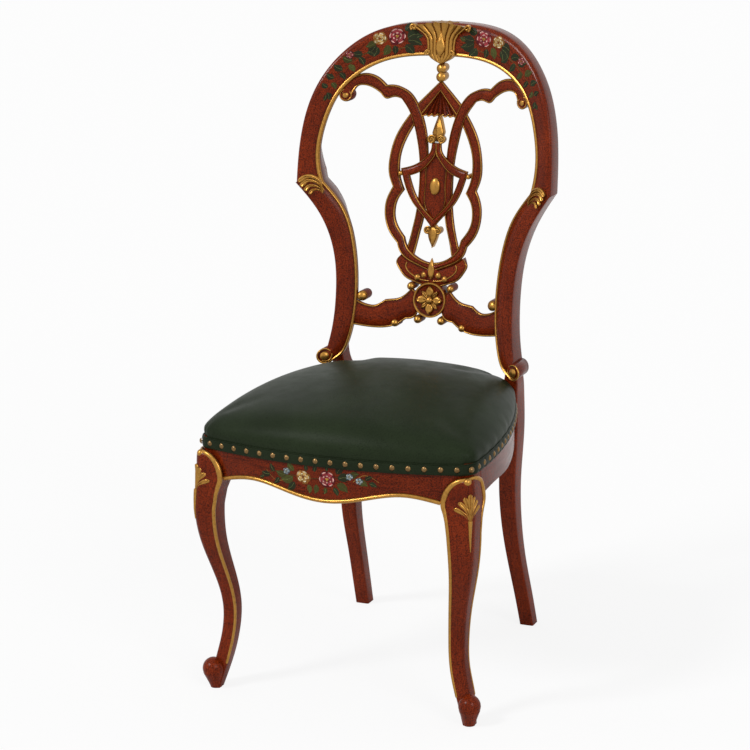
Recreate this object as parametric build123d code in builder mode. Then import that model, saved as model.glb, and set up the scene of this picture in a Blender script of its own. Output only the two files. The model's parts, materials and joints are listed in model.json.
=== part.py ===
from build123d import *
import math
import os

os.makedirs("parts", exist_ok=True)

# Painted and gilded balloon-back side chair with a domed, nailed leather seat.
# Millimetres. Seen from the front, +X is to the right. -Y is the front and +Z is up.
# The origin is on the floor under the middle of the chair's bounding box.

# ------------------------------------------------------------------ driving dimensions
overall_height = 1060.0         # floor to the top of the gilded cartouche
rail_top = 436.0                # top of the seat frame
drawn_height = 1060.0           # the back's outlines below are drawn at these two heights and
drawn_rail_top = 436.0          # stretch between the real ones
clearance = 0.3                 # running gap round soft parts

# seat frame, seen from above
front_y = -283.0                # outer face of the front rail at its middle
corner_x = 235.0                # half width over the front corners
front_bow = 39.0                # how far the front rail bows out between the corners
side_bulge = 22.0               # how far a side rail bows out from its chord
corner_radius = 14.0            # rounding of the front corners
side_end_x = 160.0              # where a side rail's outer face meets its rear post
front_rail_back_y = -231.0      # straight inner face of the front rail
side_rail_depth = 26.0          # thickness of a side rail
rear_rail_depth = 24.0          # thickness of the rear rail
rear_rail_bottom = 378.0        # lower edge of the rear rail

# serpentine lower edges, height above the floor
front_rail_drop = 361.0         # middle of the front rail
front_rail_arch = 381.0         # highest point of each of its two arches
front_rail_arch_x = 130.0
front_rail_end = 370.0          # where it runs into a knee
side_rail_arch = 377.0
side_rail_drop = 370.0
side_rail_drop_y = -30.0

# front legs (cabriole), right-hand one; the left one is its mirror image
block_inner_x = 191.0           # inner face of the leg's square top block
block_back_y = -205.0           # rear face of that block
block_bottom = 384.0
foot_ball = 17.0                # radius of the scrolled toe
foot_ball_centre = (229.0, -243.0, 31.0)
sole = 9.5                      # radius of the toe where it meets the floor
sole_x, sole_y = 226.5, -239.0
# centre line and half thickness of the leg: height, x, y, half thickness
front_leg_stations = [
    (0.0, 226.0, -237.0, 9.0),
    (40.0, 217.0, -229.5, 12.0),
    (90.0, 205.0, -224.0, 12.3),
    (140.0, 202.0, -219.5, 12.7),
    (200.0, 209.5, -229.0, 14.6),
    (260.0, 220.4, -243.5, 17.8),
    (320.0, 223.5, -249.5, 20.6),
    (403.0, 215.5, -243.0, 21.5),
]
knee_shell_relief = 2.5         # how far the gilded shell stands out from the knee
knee_shell_top = 388.0
knee_shell_tip = 302.0
knee_shell_half = 20.0

# rear posts, right-hand one
post_x = 150.0                  # centre of a post at seat height
post_y = 169.0
post_width = 32.0
post_depth = 44.0
# centre line and size of the leg below the seat: height, x, y, width, depth
rear_leg_stations = [
    (0.0, 159.0, 227.0, 25.0, 26.0),
    (60.0, 156.7, 207.0, 25.5, 27.0),
    (120.0, 154.0, 185.5, 26.0, 28.0),
    (200.0, 152.0, 161.5, 28.0, 32.0),
    (283.0, 150.0, 157.0, 30.0, 37.0),
]
post_top = 600.0                # height where the post has run out inside the stile
post_top_x = 145.5
post_top_width = 20.0
post_top_depth = 30.0

# back: every piece is cut from one sheet that leans back and is hollowed like a spoon
back_face_y = 181.0             # front face on the centre line at back_face_z
back_face_z = 700.0
back_slope = 0.16               # lean, millimetres back per millimetre up
back_radius = 400.0             # hollow, seen from above
back_depth = 50.0               # thickness of stiles and crest
splat_front = 4.0               # how far the splat's face is set behind the stiles' face
splat_depth = 24.0
shield_relief = 7.0             # how far the shield stands in front of the splat
carving_relief = 8.0            # relief of the gilded carving on the crest
leaf_relief = 5.0               # relief of the gilded leaf at each shoulder

shoulder_x = 228.0              # outer corner where a stile meets the crest
shoulder_z = 789.0
shoulder_inner_x = 190.0
crest_top = 1056.0
crest_inner_top = 1005.0        # underside of the crest on the centre line
crest_outer = [(224.6, 869.0), (202.0, 958.0), (128.0, 1035.0)]
crest_inner = [(197.5, 838.0), (190.0, 893.0), (167.0, 947.0), (108.0, 991.0)]
stile_outer = [(189.5, 737.0), (164.7, 670.0), (158.8, 596.0), (165.0, 532.0), (172.0, 506.0)]
stile_inner = [(155.0, 740.0), (135.0, 675.0), (128.5, 608.0), (138.0, 517.0), (149.0, 492.0),
               (171.0, 471.7)]
volute_x = 176.0
volute_z = 489.0
volute_radius = 18.0

# cross rail and its roundel
roundel_z = 590.0
roundel_radius = 29.0
rosette_radius = 24.0
rosette_relief = 7.0
rail_scroll = (120.0, 590.5, 11.0)         # x, height, radius of the scroll at each end
rail_balls = [(62.0, 546.5, 6.0), (21.5, 556.0, 6.5), (36.5, 611.0, 6.5)]

# splat
shield_top = 862.0
shield_corner = (61.0, 811.0)
shield_point = 712.0
panel_half = 18.5
boss_half = (11.5, 14.0)
boss_z = 783.0
boss_relief = 5.0
bud_relief = 5.0
strap_scroll = (160.0, 934.0, 11.0)
pediment_top = 958.0
pediment_base = 904.0
bead_radius = 8.0
bead_spacing = 14.5

# upholstery
webbing_thick = 1.5
webbing_width = 50.0
webbing_count = 4
webbing_pitch_x = 76.0
webbing_pitch_y = 84.0
webbing_inset = 8.0             # how far webbing stays inside the frame's outline
hessian_thick = 1.0
leather = 1.5
band_thick = 1.5
band_bottom = 418.0
seat_crown = 505.0              # top of the leather at the middle of the seat
crown_y = -72.0
crown_radius = 960.0
seat_edge_radius = 14.0
nail_head = 5.0                 # radius of a domed nail's head
nail_height = 3.0
nail_shank = 0.9
nail_length = 9.0
nail_spacing = 25.0
dust_thick = 0.8

# joinery
dowel = 4.0                     # radius
dowel_bury = 20.0               # length in each piece
screw_radius = 2.0
screw_head = 4.0
screw_length = 34.0
block_height = 40.0             # corner blocks
block_drop = 8.0                # how far their tops lie below the rails' tops
corner_block_reach = 44.0

# ------------------------------------------------------------------ derived places
side_end_y = post_y - post_depth / 2          # front face of the rear posts
post_inner_x = post_x - post_width / 2
rear_rail_y = side_end_y + 5                  # inner face of the rear rail
rear_rail_back_y = rear_rail_y + rear_rail_depth
corner_y = front_y + front_bow
band_top = rail_top
upholstery_gap = leather + band_thick + clearance   # from the frame's plan to a post
nail_z = (band_bottom + band_top) / 2
back_low = 440.0
back_high = overall_height + 20
back_half = 245.0
back_plane = Plane.XZ.offset(-40)             # in front of everything in the back
back_reach = 320.0
splat_middle = splat_front + splat_depth / 2  # behind the stiles' face


def up(z):
    """Height of a point of the back drawn at z, stretched with the chair's overall height."""
    stretch = (overall_height - rail_top) / (drawn_height - drawn_rail_top)
    return rail_top + (z - drawn_rail_top) * stretch


def drawn(*points):
    """Drawn points of the back's front view at their real height. Points already placed stay."""
    return [p if isinstance(p, Vector) else (p[0], up(p[1])) for p in points]


def back_y(x, z):
    """Depth of the back's front face at a point of the front view."""
    lean = back_slope * (z - back_face_z)
    hollow = back_radius - math.sqrt(back_radius**2 - x**2)
    return back_face_y + lean - hollow


def back_sheet(front, depth):
    """The leaning, hollowed sheet whose face lies `front` behind the stiles' front face."""
    low_y = back_y(0, back_low) + front
    edge_y = back_y(back_half, back_low) + front
    with BuildPart() as sheet:
        with BuildSketch(Plane.XY.offset(back_low)):
            with BuildLine():
                near = ThreePointArc((-back_half, edge_y), (0, low_y), (back_half, edge_y))
                far = ThreePointArc((-back_half, edge_y + depth), (0, low_y + depth),
                                    (back_half, edge_y + depth))
                Line(near @ 0, far @ 0)
                Line(near @ 1, far @ 1)
            make_face()
        rise = back_high - back_low
        extrude(amount=rise * math.hypot(1, back_slope), dir=(0, back_slope, 1))
    return sheet.part


frame_sheet = back_sheet(0, back_depth)
splat_sheet = back_sheet(splat_front, splat_depth)
shield_sheet = back_sheet(splat_front - shield_relief, shield_relief + 5)


def seat_plan(grow, post_gap=0.0):
    """Outline of the seat frame seen from above, grown outward and notched round the posts."""
    wide_x = corner_x + grow
    fore_y = corner_y - grow
    back_edge_y = rear_rail_back_y + grow
    with BuildSketch() as plan:
        with BuildLine():
            SagittaArc((-wide_x, fore_y), (wide_x, fore_y), -front_bow)
            right = SagittaArc((wide_x, fore_y), (side_end_x + grow, side_end_y), -side_bulge)
            left = SagittaArc((-side_end_x - grow, side_end_y), (-wide_x, fore_y), -side_bulge)
            Polyline(right @ 1, (post_inner_x, side_end_y), (post_inner_x, back_edge_y),
                     (-post_inner_x, back_edge_y), (-post_inner_x, side_end_y), left @ 0)
        make_face()
        front_corners = [v for v in plan.vertices() if v.Y < fore_y + 1]
        fillet(front_corners, radius=corner_radius + grow)
        if post_gap > 0:
            notch = 2 * post_width + post_gap
            notch_x = post_inner_x - post_gap + notch / 2
            notch_y = side_end_y - post_gap + notch / 2
            with Locations((notch_x, notch_y), (-notch_x, notch_y)):
                Rectangle(notch, notch, mode=Mode.SUBTRACT)
    return plan.sketch


with BuildPart() as seat_prism:
    with BuildSketch():
        add(seat_plan(0))
    extrude(amount=rail_top)


# ------------------------------------------------------------------ dowels, screws and nails
with BuildPart() as seat_rail_dowels:
    front_dowel_y = front_rail_back_y - 13
    side_dowel_x = corner_x - side_rail_depth / 2
    for dowel_z in (rail_top - 36, rail_top - 14):
        with Locations((block_inner_x, front_dowel_y, dowel_z)):
            Cylinder(dowel, 2 * dowel_bury, rotation=(0, 90, 0))
        with Locations((side_dowel_x, block_back_y, dowel_z), (post_x, side_end_y, dowel_z)):
            Cylinder(dowel, 2 * dowel_bury, rotation=(90, 0, 0))
    for dowel_z in (rail_top - 46, rail_top - 25):
        with Locations((post_inner_x, rear_rail_y + rear_rail_depth / 2, dowel_z)):
            Cylinder(dowel, 2 * dowel_bury, rotation=(0, 90, 0))
    mirror(about=Plane.YZ)

with BuildPart() as crest_dowels:
    shoulder_dowel_x = (shoulder_x + shoulder_inner_x) / 2 - 6.5
    shoulder_dowel_y = back_y(shoulder_dowel_x, up(shoulder_z)) + back_depth / 2
    with Locations((shoulder_dowel_x, shoulder_dowel_y - 10, up(shoulder_z)),
                   (shoulder_dowel_x, shoulder_dowel_y + 10, up(shoulder_z))):
        Cylinder(dowel, 1.6 * dowel_bury)
    mirror(about=Plane.YZ)
    for dowel_z in (up(crest_inner_top) + 16, up(crest_top) - 16):
        with Locations((0, back_y(0, dowel_z) + back_depth / 2, dowel_z)):
            Cylinder(dowel, 2 * dowel_bury, rotation=(0, 90, 0))

with BuildPart() as cross_rail_dowels:
    cross_dowel_z = up(roundel_z) - roundel_radius
    stile_edge_x = 130.0
    with Locations((stile_edge_x, back_y(stile_edge_x, cross_dowel_z) + splat_middle, cross_dowel_z)):
        Cylinder(dowel, 2 * dowel_bury, rotation=(0, 90, 0))
    mirror(about=Plane.YZ)

# corner blocks: a triangle behind each corner, front pair and rear pair
block_mid_z = rail_top - block_drop - block_height / 2
front_face_x = block_inner_x - corner_block_reach / 2
rear_face_x = post_inner_x - corner_block_reach / 2
front_diagonal = block_inner_x - corner_block_reach - front_rail_back_y     # x - y on the face
rear_diagonal = post_inner_x - corner_block_reach + rear_rail_y             # x + y on the face
side_screw_y = block_back_y + corner_block_reach / 2
rear_side_screw_y = rear_rail_y - corner_block_reach
screw_planes = [
    Plane(origin=(front_face_x, front_face_x - front_diagonal + 3, block_mid_z), z_dir=(0, -1, 0)),
    Plane(origin=(side_screw_y + front_diagonal - 3, side_screw_y, block_mid_z), z_dir=(1, 0, 0)),
    Plane(origin=(rear_face_x, rear_diagonal - rear_face_x + 1, block_mid_z), z_dir=(0, 1, 0)),
    Plane(origin=(rear_diagonal - rear_side_screw_y + 1, rear_side_screw_y, block_mid_z),
          z_dir=(1, 0, 0)),
]
with BuildPart() as corner_block_screws:
    with Locations(*screw_planes):
        Cylinder(screw_head, 3, align=(Align.CENTER, Align.CENTER, Align.MIN))
        Cylinder(screw_radius, screw_length, align=(Align.CENTER, Align.CENTER, Align.MIN))
    mirror(about=Plane.YZ)

# domed nails, evenly spaced along every run of the leather band and one on each front corner
band_face = seat_plan(leather + band_thick, upholstery_gap)
nail_planes = []
for run in band_face.edges():
    mid = run.position_at(0.5)
    on_notch = mid.Y > side_end_y - 5 and abs(mid.X) > 1
    if on_notch:
        continue
    count = max(1, round(run.length / nail_spacing))
    for i in range(count):
        at = run.position_at((i + 0.5) / count)
        along = run.tangent_at((i + 0.5) / count)
        outward = Vector(along.Y, -along.X, 0)
        if outward.dot(Vector(at.X, at.Y + 60, 0)) < 0:
            outward = -outward
        nail_planes.append(Plane(origin=(at.X, at.Y, nail_z), z_dir=outward))
dome = (nail_head**2 + nail_height**2) / (2 * nail_height)
dome_edge = math.degrees(math.asin((dome - nail_height) / dome))
with BuildPart() as brass_nails:
    with Locations(*nail_planes):
        Sphere(dome, arc_size1=dome_edge, align=(Align.CENTER, Align.CENTER, Align.MIN))
        Cylinder(nail_shank, nail_length, align=(Align.CENTER, Align.CENTER, Align.MAX))

# ------------------------------------------------------------------ webbing and its tacks
webbing_plan = seat_plan(-webbing_inset, webbing_inset)

with BuildPart() as webbing_long:
    with BuildSketch(Plane.XY.offset(rail_top)):
        with GridLocations(webbing_pitch_x, 1, webbing_count, 1):
            Rectangle(webbing_width, 600)
        add(webbing_plan, mode=Mode.INTERSECT)
    extrude(amount=webbing_thick)

with BuildPart() as webbing_cross:
    with BuildSketch(Plane.XY.offset(rail_top + webbing_thick)):
        with Locations((0, (front_rail_back_y + rear_rail_y) / 2)):
            with GridLocations(1, webbing_pitch_y, 1, webbing_count):
                Rectangle(600, webbing_width)
        add(webbing_plan, mode=Mode.INTERSECT)
    extrude(amount=webbing_thick)

# ------------------------------------------------------------------ front legs
def leg_body(extra):
    """Cabriole leg lofted through its stations, thickened all round by extra."""
    with BuildPart() as body:
        for height, x, y, half in front_leg_stations:
            with BuildSketch(Plane.XY.offset(height)):
                with Locations((x, y)):
                    side = 2 * (half + extra)
                    RectangleRounded(side, side, 0.4 * (half + extra))
        loft()
    return body.part


leg_solid = leg_body(0)

with BuildPart() as front_leg_right:
    with BuildSketch(Plane.XY.offset(block_bottom)):
        with Locations(((block_inner_x + corner_x) / 2 + 5, (block_back_y + front_y) / 2)):
            Rectangle(corner_x - block_inner_x + 10, block_back_y - front_y)
    extrude(amount=rail_top - block_bottom)
    add(seat_prism.part, mode=Mode.INTERSECT)
    add(leg_solid)
    with Locations(foot_ball_centre):
        Sphere(foot_ball)
    ball_x, ball_y, ball_z = foot_ball_centre
    with BuildSketch():
        with Locations((sole_x, sole_y)):
            Circle(sole)
    with BuildSketch(Plane.XY.offset(ball_z - 0.35 * foot_ball)):
        with Locations((ball_x, ball_y)):
            Circle(0.93 * foot_ball)
    loft()
    add(seat_rail_dowels.part, mode=Mode.SUBTRACT)
    add(brass_nails.part, mode=Mode.SUBTRACT)

# gilded shell on the knee: a fan cut from a slightly larger leg
knee_x, knee_y = front_leg_stations[-2][1:3]
shell_plane = Plane(origin=(knee_x, knee_y, 0), x_dir=(1, 1, 0), z_dir=(1, -1, 0))
with BuildPart() as knee_shell_right:
    with BuildSketch(shell_plane):
        with BuildLine():
            rim = Spline((-knee_shell_half, knee_shell_top - 22), (0, knee_shell_top),
                         (knee_shell_half, knee_shell_top - 22))
            flank = Spline(rim @ 1, (0.35 * knee_shell_half, knee_shell_tip + 30), (0, knee_shell_tip))
            Spline(flank @ 1, (-0.35 * knee_shell_half, knee_shell_tip + 30), rim @ 0)
        make_face()
    extrude(amount=60)
    add(leg_body(knee_shell_relief), mode=Mode.INTERSECT)
    add(leg_solid, mode=Mode.SUBTRACT)

# ------------------------------------------------------------------ rear posts
with BuildPart() as post_right:
    for height, x, y, width, depth in rear_leg_stations:
        with BuildSketch(Plane.XY.offset(height)):
            with Locations((x, y)):
                RectangleRounded(width, depth, 4)
    with BuildSketch(Plane.XY.offset(rear_rail_bottom)):
        with Locations((post_x, post_y)):
            RectangleRounded(post_width, post_depth, 4)
    loft()
    with BuildSketch(Plane.XY.offset(rear_rail_bottom)):
        with Locations((post_x, post_y)):
            RectangleRounded(post_width, post_depth, 4)
    with BuildSketch(Plane.XY.offset(rail_top + 4)):
        with Locations((post_x, post_y)):
            RectangleRounded(post_width, post_depth, 4)
    loft()
    post_top_back = back_y(post_top_x, post_top) + back_depth
    with BuildSketch(Plane.XY.offset(rail_top + 4)):
        with Locations((post_x, post_y)):
            RectangleRounded(post_width, post_depth, 4)
    with BuildSketch(Plane.XY.offset(post_top)):
        with Locations((post_top_x, post_top_back - post_top_depth / 2)):
            RectangleRounded(post_top_width, post_top_depth, 4)
    loft()

with BuildPart() as stile_right:
    with BuildSketch(back_plane):
        with BuildLine():
            outer = Spline(*drawn((shoulder_x, shoulder_z), *stile_outer))
            inner = Spline(*drawn((shoulder_inner_x, shoulder_z), *stile_inner))
            Line(outer @ 0, inner @ 0)
            Line(outer @ 1, inner @ 1)
        make_face()
        with Locations(*drawn((volute_x, volute_z))):
            Circle(volute_radius)
    extrude(amount=-back_reach)
    add(frame_sheet, mode=Mode.INTERSECT)

with BuildPart() as rear_post_right:
    add(post_right.part)
    add(stile_right.part)
    add(seat_rail_dowels.part, mode=Mode.SUBTRACT)
    add(crest_dowels.part, mode=Mode.SUBTRACT)
    add(cross_rail_dowels.part, mode=Mode.SUBTRACT)

with BuildPart() as rear_post_left:
    mirror(rear_post_right.part, about=Plane.YZ)

with BuildPart() as stile_leaf_right:
    with BuildSketch(back_plane):
        with BuildLine():
            Spline(*drawn((220, 789), (214, 799), (205, 803), (194, 800), (187, 792), (191, 782),
                          (202, 777), (213, 780)), periodic=True)
        make_face()
    extrude(amount=-back_reach)
    add(back_sheet(-leaf_relief, leaf_relief), mode=Mode.INTERSECT)

# ------------------------------------------------------------------ crest
with BuildPart() as crest_right:
    with BuildSketch(back_plane):
        with BuildLine():
            outer = Spline(*drawn((shoulder_x, shoulder_z), *crest_outer, (0, crest_top)),
                           tangents=((0, 1), (-1, 0)))
            inner = Spline(*drawn((shoulder_inner_x, shoulder_z), *crest_inner, (0, crest_inner_top)),
                           tangents=((0.3, 1), (-1, 0)))
            Line(outer @ 0, inner @ 0)
            Line(outer @ 1, inner @ 1)
        make_face()
    extrude(amount=-back_reach)
    add(frame_sheet, mode=Mode.INTERSECT)
    add(crest_dowels.part, mode=Mode.SUBTRACT)

with BuildPart() as crest_left:
    mirror(crest_right.part, about=Plane.YZ)

with BuildPart() as crest_cartouche:
    with BuildSketch(back_plane):
        with BuildLine():
            top = Spline(*drawn((0, drawn_height), (30, drawn_height - 2), (54, drawn_height - 8)),
                         tangents=((1, 0), (0.9, -0.6)))
            waist = Spline(*drawn(top @ 1, (31, drawn_height - 22), (26, drawn_height - 42),
                                  (26, crest_inner_top)))
            tip = Spline(*drawn(waist @ 1, (18, crest_inner_top - 9), (0, crest_inner_top - 16)))
            Line(tip @ 1, top @ 0)
        make_face()
        mirror(about=Plane.YZ)
    extrude(amount=-back_reach)
    add(back_sheet(-carving_relief, carving_relief + splat_front + splat_depth), mode=Mode.INTERSECT)
    add(crest_right.part, mode=Mode.SUBTRACT)
    add(crest_left.part, mode=Mode.SUBTRACT)
    add(crest_dowels.part, mode=Mode.SUBTRACT)

# ------------------------------------------------------------------ cross rail
scroll_x, scroll_z, scroll_r = rail_scroll
with BuildPart() as cross_rail:
    with BuildSketch(back_plane):
        with BuildLine():
            upper = Spline(*drawn((140, 588), (130, 584.5), (121, 580.5), (110, 576.5), (100, 575.5),
                                  (92.5, 578), (81, 585.5)))
            ear = Spline(*drawn(upper @ 1, (73, 586.5), (58, 589), (46, 596), (35, 607.5)))
            middle = Polyline(*drawn(ear @ 1, (0, roundel_z), (0, roundel_z - 28), (9, 558)))
            lower = Spline(*drawn(middle @ 1, (21, 552), (43, 555), (60, 544), (99, 539.5),
                                  (140, 547)))
            Line(lower @ 1, upper @ 0)
        make_face()
        with Locations(*drawn((scroll_x, scroll_z))):
            Circle(scroll_r)
        for ball_x, ball_z, ball_r in rail_balls:
            with Locations(*drawn((ball_x, ball_z))):
                Circle(ball_r)
        with Locations(*drawn((0, roundel_z))):
            Circle(roundel_radius)
        mirror(about=Plane.YZ)
    extrude(amount=-back_reach)
    add(splat_sheet, mode=Mode.INTERSECT)
    add(rear_post_right.part, mode=Mode.SUBTRACT)
    add(rear_post_left.part, mode=Mode.SUBTRACT)
    add(cross_rail_dowels.part, mode=Mode.SUBTRACT)

with BuildPart() as cross_rail_rosette:
    with BuildSketch(back_plane):
        with Locations(*drawn((0, roundel_z))):
            Circle(0.28 * rosette_radius)
            with PolarLocations(0.56 * rosette_radius, 4):
                Ellipse(0.44 * rosette_radius, 0.26 * rosette_radius)
            with PolarLocations(0.46 * rosette_radius, 4, start_angle=45):
                Ellipse(0.36 * rosette_radius, 0.18 * rosette_radius)
    extrude(amount=-back_reach)
    add(back_sheet(splat_front - rosette_relief, rosette_relief), mode=Mode.INTERSECT)

# ------------------------------------------------------------------ splat
with BuildPart() as strap_blank:
    strap_x, strap_z, strap_r = strap_scroll
    with BuildSketch(back_plane):
        with BuildLine():
            outer = Spline(*drawn((50, 668), (45.5, 683), (37.5, 715), (32.5, 745), (30.5, 785),
                                  (32.5, 830), (39, 865), (53, 907), (68, 928)))
            elbow = Spline(*drawn(outer @ 1, (82, 931), (94, 928), (104, 937)))
            arm = Spline(*drawn(elbow @ 1, (126, 949.5), (143, 949), (151, 935)))
            tip = Line(*drawn(arm @ 1, (170, 940)))
            over = Spline(*drawn(tip @ 1, (163, 955), (137, 969.5), (112, 964.5), (95, 950)))
            inner = Spline(*drawn(over @ 1, (75, 949), (56, 940), (34, 909), (21.5, 869), (17, 825),
                                  (17, 770), (20.5, 726), (26, 703), (35, 665)))
            Line(inner @ 1, outer @ 0)
        make_face()
        with Locations(*drawn((strap_x, strap_z))):
            Circle(strap_r)
    extrude(amount=-back_reach)
    add(splat_sheet, mode=Mode.INTERSECT)

with BuildPart() as loop_blank:
    with BuildSketch(back_plane):
        with BuildLine():
            foot = Spline(*drawn((0, 640), (21, 646), (44, 656), (59, 670), (64, 684)))
            belly = Spline(*drawn(foot @ 1, (79, 703), (88, 733), (86, 758), (76.5, 779)))
            brow = Spline(*drawn(belly @ 1, (84, 800), (84, 830), (75, 865), (50, 906)))
            horn = Line(*drawn(brow @ 1, (38, 896)))
            brow_in = Spline(*drawn(horn @ 1, (57, 862), (65.5, 837), (67.5, 816), (64.5, 793),
                                    (57, 774)))
            belly_in = Spline(*drawn(brow_in @ 1, (67.5, 758), (71.5, 740), (69, 720), (62, 706.5),
                                     (52.5, 694)))
            foot_in = Spline(*drawn(belly_in @ 1, (47.5, 679), (31.5, 662.5), (0, 652)))
            Line(foot_in @ 1, foot @ 0)
        make_face()
        mirror(about=Plane.YZ)
    extrude(amount=-back_reach)
    add(splat_sheet, mode=Mode.INTERSECT)

with BuildPart() as loop_foot:
    add(loop_blank.part)
    split(bisect_by=Plane.XY.offset(up(shield_point)), keep=Keep.BOTTOM)

with BuildPart() as shield_frame:
    corner_px, corner_pz = shield_corner
    with BuildSketch(back_plane):
        with BuildLine():
            shoulder = Spline(*drawn((0, shield_top), (8, 846), (22, 828), (40, 817), shield_corner),
                              tangents=((0.3, -1), (1, -0.1)))
            flank = Spline(*drawn(shoulder @ 1, (54, 787), (38, 755), (20, 735), (0, shield_point)))
            Line(flank @ 1, shoulder @ 0)
        make_face()
        with BuildLine():
            shoulder_in = Spline(*drawn((0, 838), (12, 822), (28, 807), (46, 800)))
            flank_in = Spline(*drawn(shoulder_in @ 1, (38, 777), (24, 752), (0, 728)))
            Line(flank_in @ 1, shoulder_in @ 0)
        make_face(mode=Mode.SUBTRACT)
        with Locations(*drawn((8.5, shield_top - 3))):
            Circle(8)
        mirror(about=Plane.YZ)
    extrude(amount=-back_reach)
    add(shield_sheet, mode=Mode.INTERSECT)

with BuildPart() as splat_shield:
    with BuildSketch(back_plane):
        with BuildLine():
            panel_top = Spline(*drawn((0, 846), (10, 832), (panel_half, 823)))
            panel_low = Line(*drawn((panel_half, 740), (0, 720)))
            Line(panel_top @ 1, panel_low @ 0)
            Line(panel_low @ 1, panel_top @ 0)
        make_face()
        mirror(about=Plane.YZ)
    extrude(amount=-back_reach)
    add(back_sheet(splat_front - 2, splat_depth - 6), mode=Mode.INTERSECT)
    add(shield_frame.part)

with BuildPart() as shield_boss:
    with BuildSketch(back_plane):
        with Locations(*drawn((0, boss_z))):
            Ellipse(*boss_half)
    extrude(amount=-back_reach)
    add(back_sheet(splat_front - 2 - boss_relief, boss_relief), mode=Mode.INTERSECT)

with BuildPart() as splat_strap_right:
    add(strap_blank.part)
    add(loop_foot.part, mode=Mode.SUBTRACT)
    add(crest_right.part, mode=Mode.SUBTRACT)
    add(splat_shield.part, mode=Mode.SUBTRACT)

with BuildPart() as splat_strap_left:
    mirror(splat_strap_right.part, about=Plane.YZ)

with BuildPart() as splat_loop:
    add(loop_blank.part)
    add(splat_strap_right.part, mode=Mode.SUBTRACT)
    add(splat_strap_left.part, mode=Mode.SUBTRACT)

with BuildPart() as splat_pediment:
    with BuildSketch(back_plane):
        with BuildLine():
            roof = Line(*drawn((0, pediment_top + 2), (46, 916)))
            eave = Line(*drawn(roof @ 1, (36, pediment_base + 2)))
            base = Spline(*drawn(eave @ 1, (24, pediment_base - 1), (12, pediment_base + 1),
                                 (0, pediment_base - 1)))
            Line(base @ 1, roof @ 0)
        make_face()
        mirror(about=Plane.YZ)
    extrude(amount=-back_reach)
    add(splat_sheet, mode=Mode.INTERSECT)
    add(splat_strap_right.part, mode=Mode.SUBTRACT)
    add(splat_strap_left.part, mode=Mode.SUBTRACT)

bead_z = up((pediment_top + crest_inner_top - 16) / 2)
bead_stem = up(crest_inner_top - 12) - up(pediment_top - 6)
with BuildPart() as splat_beads:
    with BuildSketch(back_plane):
        with Locations((0, bead_z)):
            Rectangle(bead_radius, bead_stem)
        with Locations((0, bead_z - bead_spacing / 2), (0, bead_z + bead_spacing / 2)):
            Circle(bead_radius)
    extrude(amount=-back_reach)
    add(splat_sheet, mode=Mode.INTERSECT)
    add(splat_pediment.part, mode=Mode.SUBTRACT)
    add(crest_cartouche.part, mode=Mode.SUBTRACT)

with BuildPart() as splat_finial:
    with BuildSketch(back_plane):
        with BuildLine():
            blade = Spline(*drawn((0, pediment_base), (9, 886), (12, 872), (8, shield_top - 4)))
            Polyline(*drawn(blade @ 1, (0, shield_top - 4), blade @ 0))
        make_face()
        mirror(about=Plane.YZ)
    extrude(amount=-back_reach)
    add(back_sheet(splat_front, 14), mode=Mode.INTERSECT)
    add(splat_shield.part, mode=Mode.SUBTRACT)
    add(splat_pediment.part, mode=Mode.SUBTRACT)

with BuildPart() as splat_pendant:
    with BuildSketch(back_plane):
        with BuildLine():
            point = Spline(*drawn((0, shield_point - 31), (5, shield_point - 24),
                                  (9, shield_point - 10)))
            Polyline(*drawn(point @ 1, (6, shield_point + 6), (0, shield_point + 6), point @ 0))
        make_face()
        with Locations(*drawn((9, shield_point - 6))):
            Circle(6.5)
        mirror(about=Plane.YZ)
    extrude(amount=-back_reach)
    add(back_sheet(splat_front - 2, 16), mode=Mode.INTERSECT)
    add(splat_shield.part, mode=Mode.SUBTRACT)

with BuildPart() as splat_wings:
    with BuildSketch(back_plane):
        with BuildLine():
            rim = Spline(*drawn((0, 612), (18, 614), (32, 618.5), (47, 625), (60, 640), (65, 652),
                                (57, 664)))
            lip = Spline(*drawn(rim @ 1, (46, 651), (42, 640), (30, 629), (16, 622), (8, 636)))
            stem = Line(*drawn(lip @ 1, (0, 644)))
            Line(stem @ 1, rim @ 0)
        make_face()
        with Locations(*drawn((12.5, 632), (25, 627))):
            Circle(6.5)
        mirror(about=Plane.YZ)
    extrude(amount=-back_reach)
    add(splat_sheet, mode=Mode.INTERSECT)
    add(splat_loop.part, mode=Mode.SUBTRACT)
    add(cross_rail.part, mode=Mode.SUBTRACT)

with BuildPart() as splat_bud:
    with BuildSketch(back_plane):
        with BuildLine():
            petal = Spline(*drawn((0, 624), (5, 634), (6.5, 648), (0, 661)))
            Line(petal @ 1, petal @ 0)
        make_face()
        mirror(about=Plane.YZ)
    extrude(amount=-back_reach)
    add(back_sheet(splat_front - bud_relief, bud_relief), mode=Mode.INTERSECT)

# small pins that tie the shield's corners to the loop
with BuildPart() as shield_pins:
    pin_z = up(corner_pz - 7)
    pin_y = back_y(corner_px, pin_z) + splat_front + 2
    with Locations((corner_px + 3, pin_y, pin_z)):
        Cylinder(4, 16, rotation=(0, 90, 0))
    mirror(about=Plane.YZ)
    for solid in (splat_shield, splat_loop, splat_strap_left, splat_strap_right):
        add(solid.part, mode=Mode.SUBTRACT)

# ------------------------------------------------------------------ left-hand twins
with BuildPart() as front_leg_left:
    mirror(front_leg_right.part, about=Plane.YZ)

with BuildPart() as knee_shell_left:
    mirror(knee_shell_right.part, about=Plane.YZ)

with BuildPart() as stile_leaf_left:
    mirror(stile_leaf_right.part, about=Plane.YZ)

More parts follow.
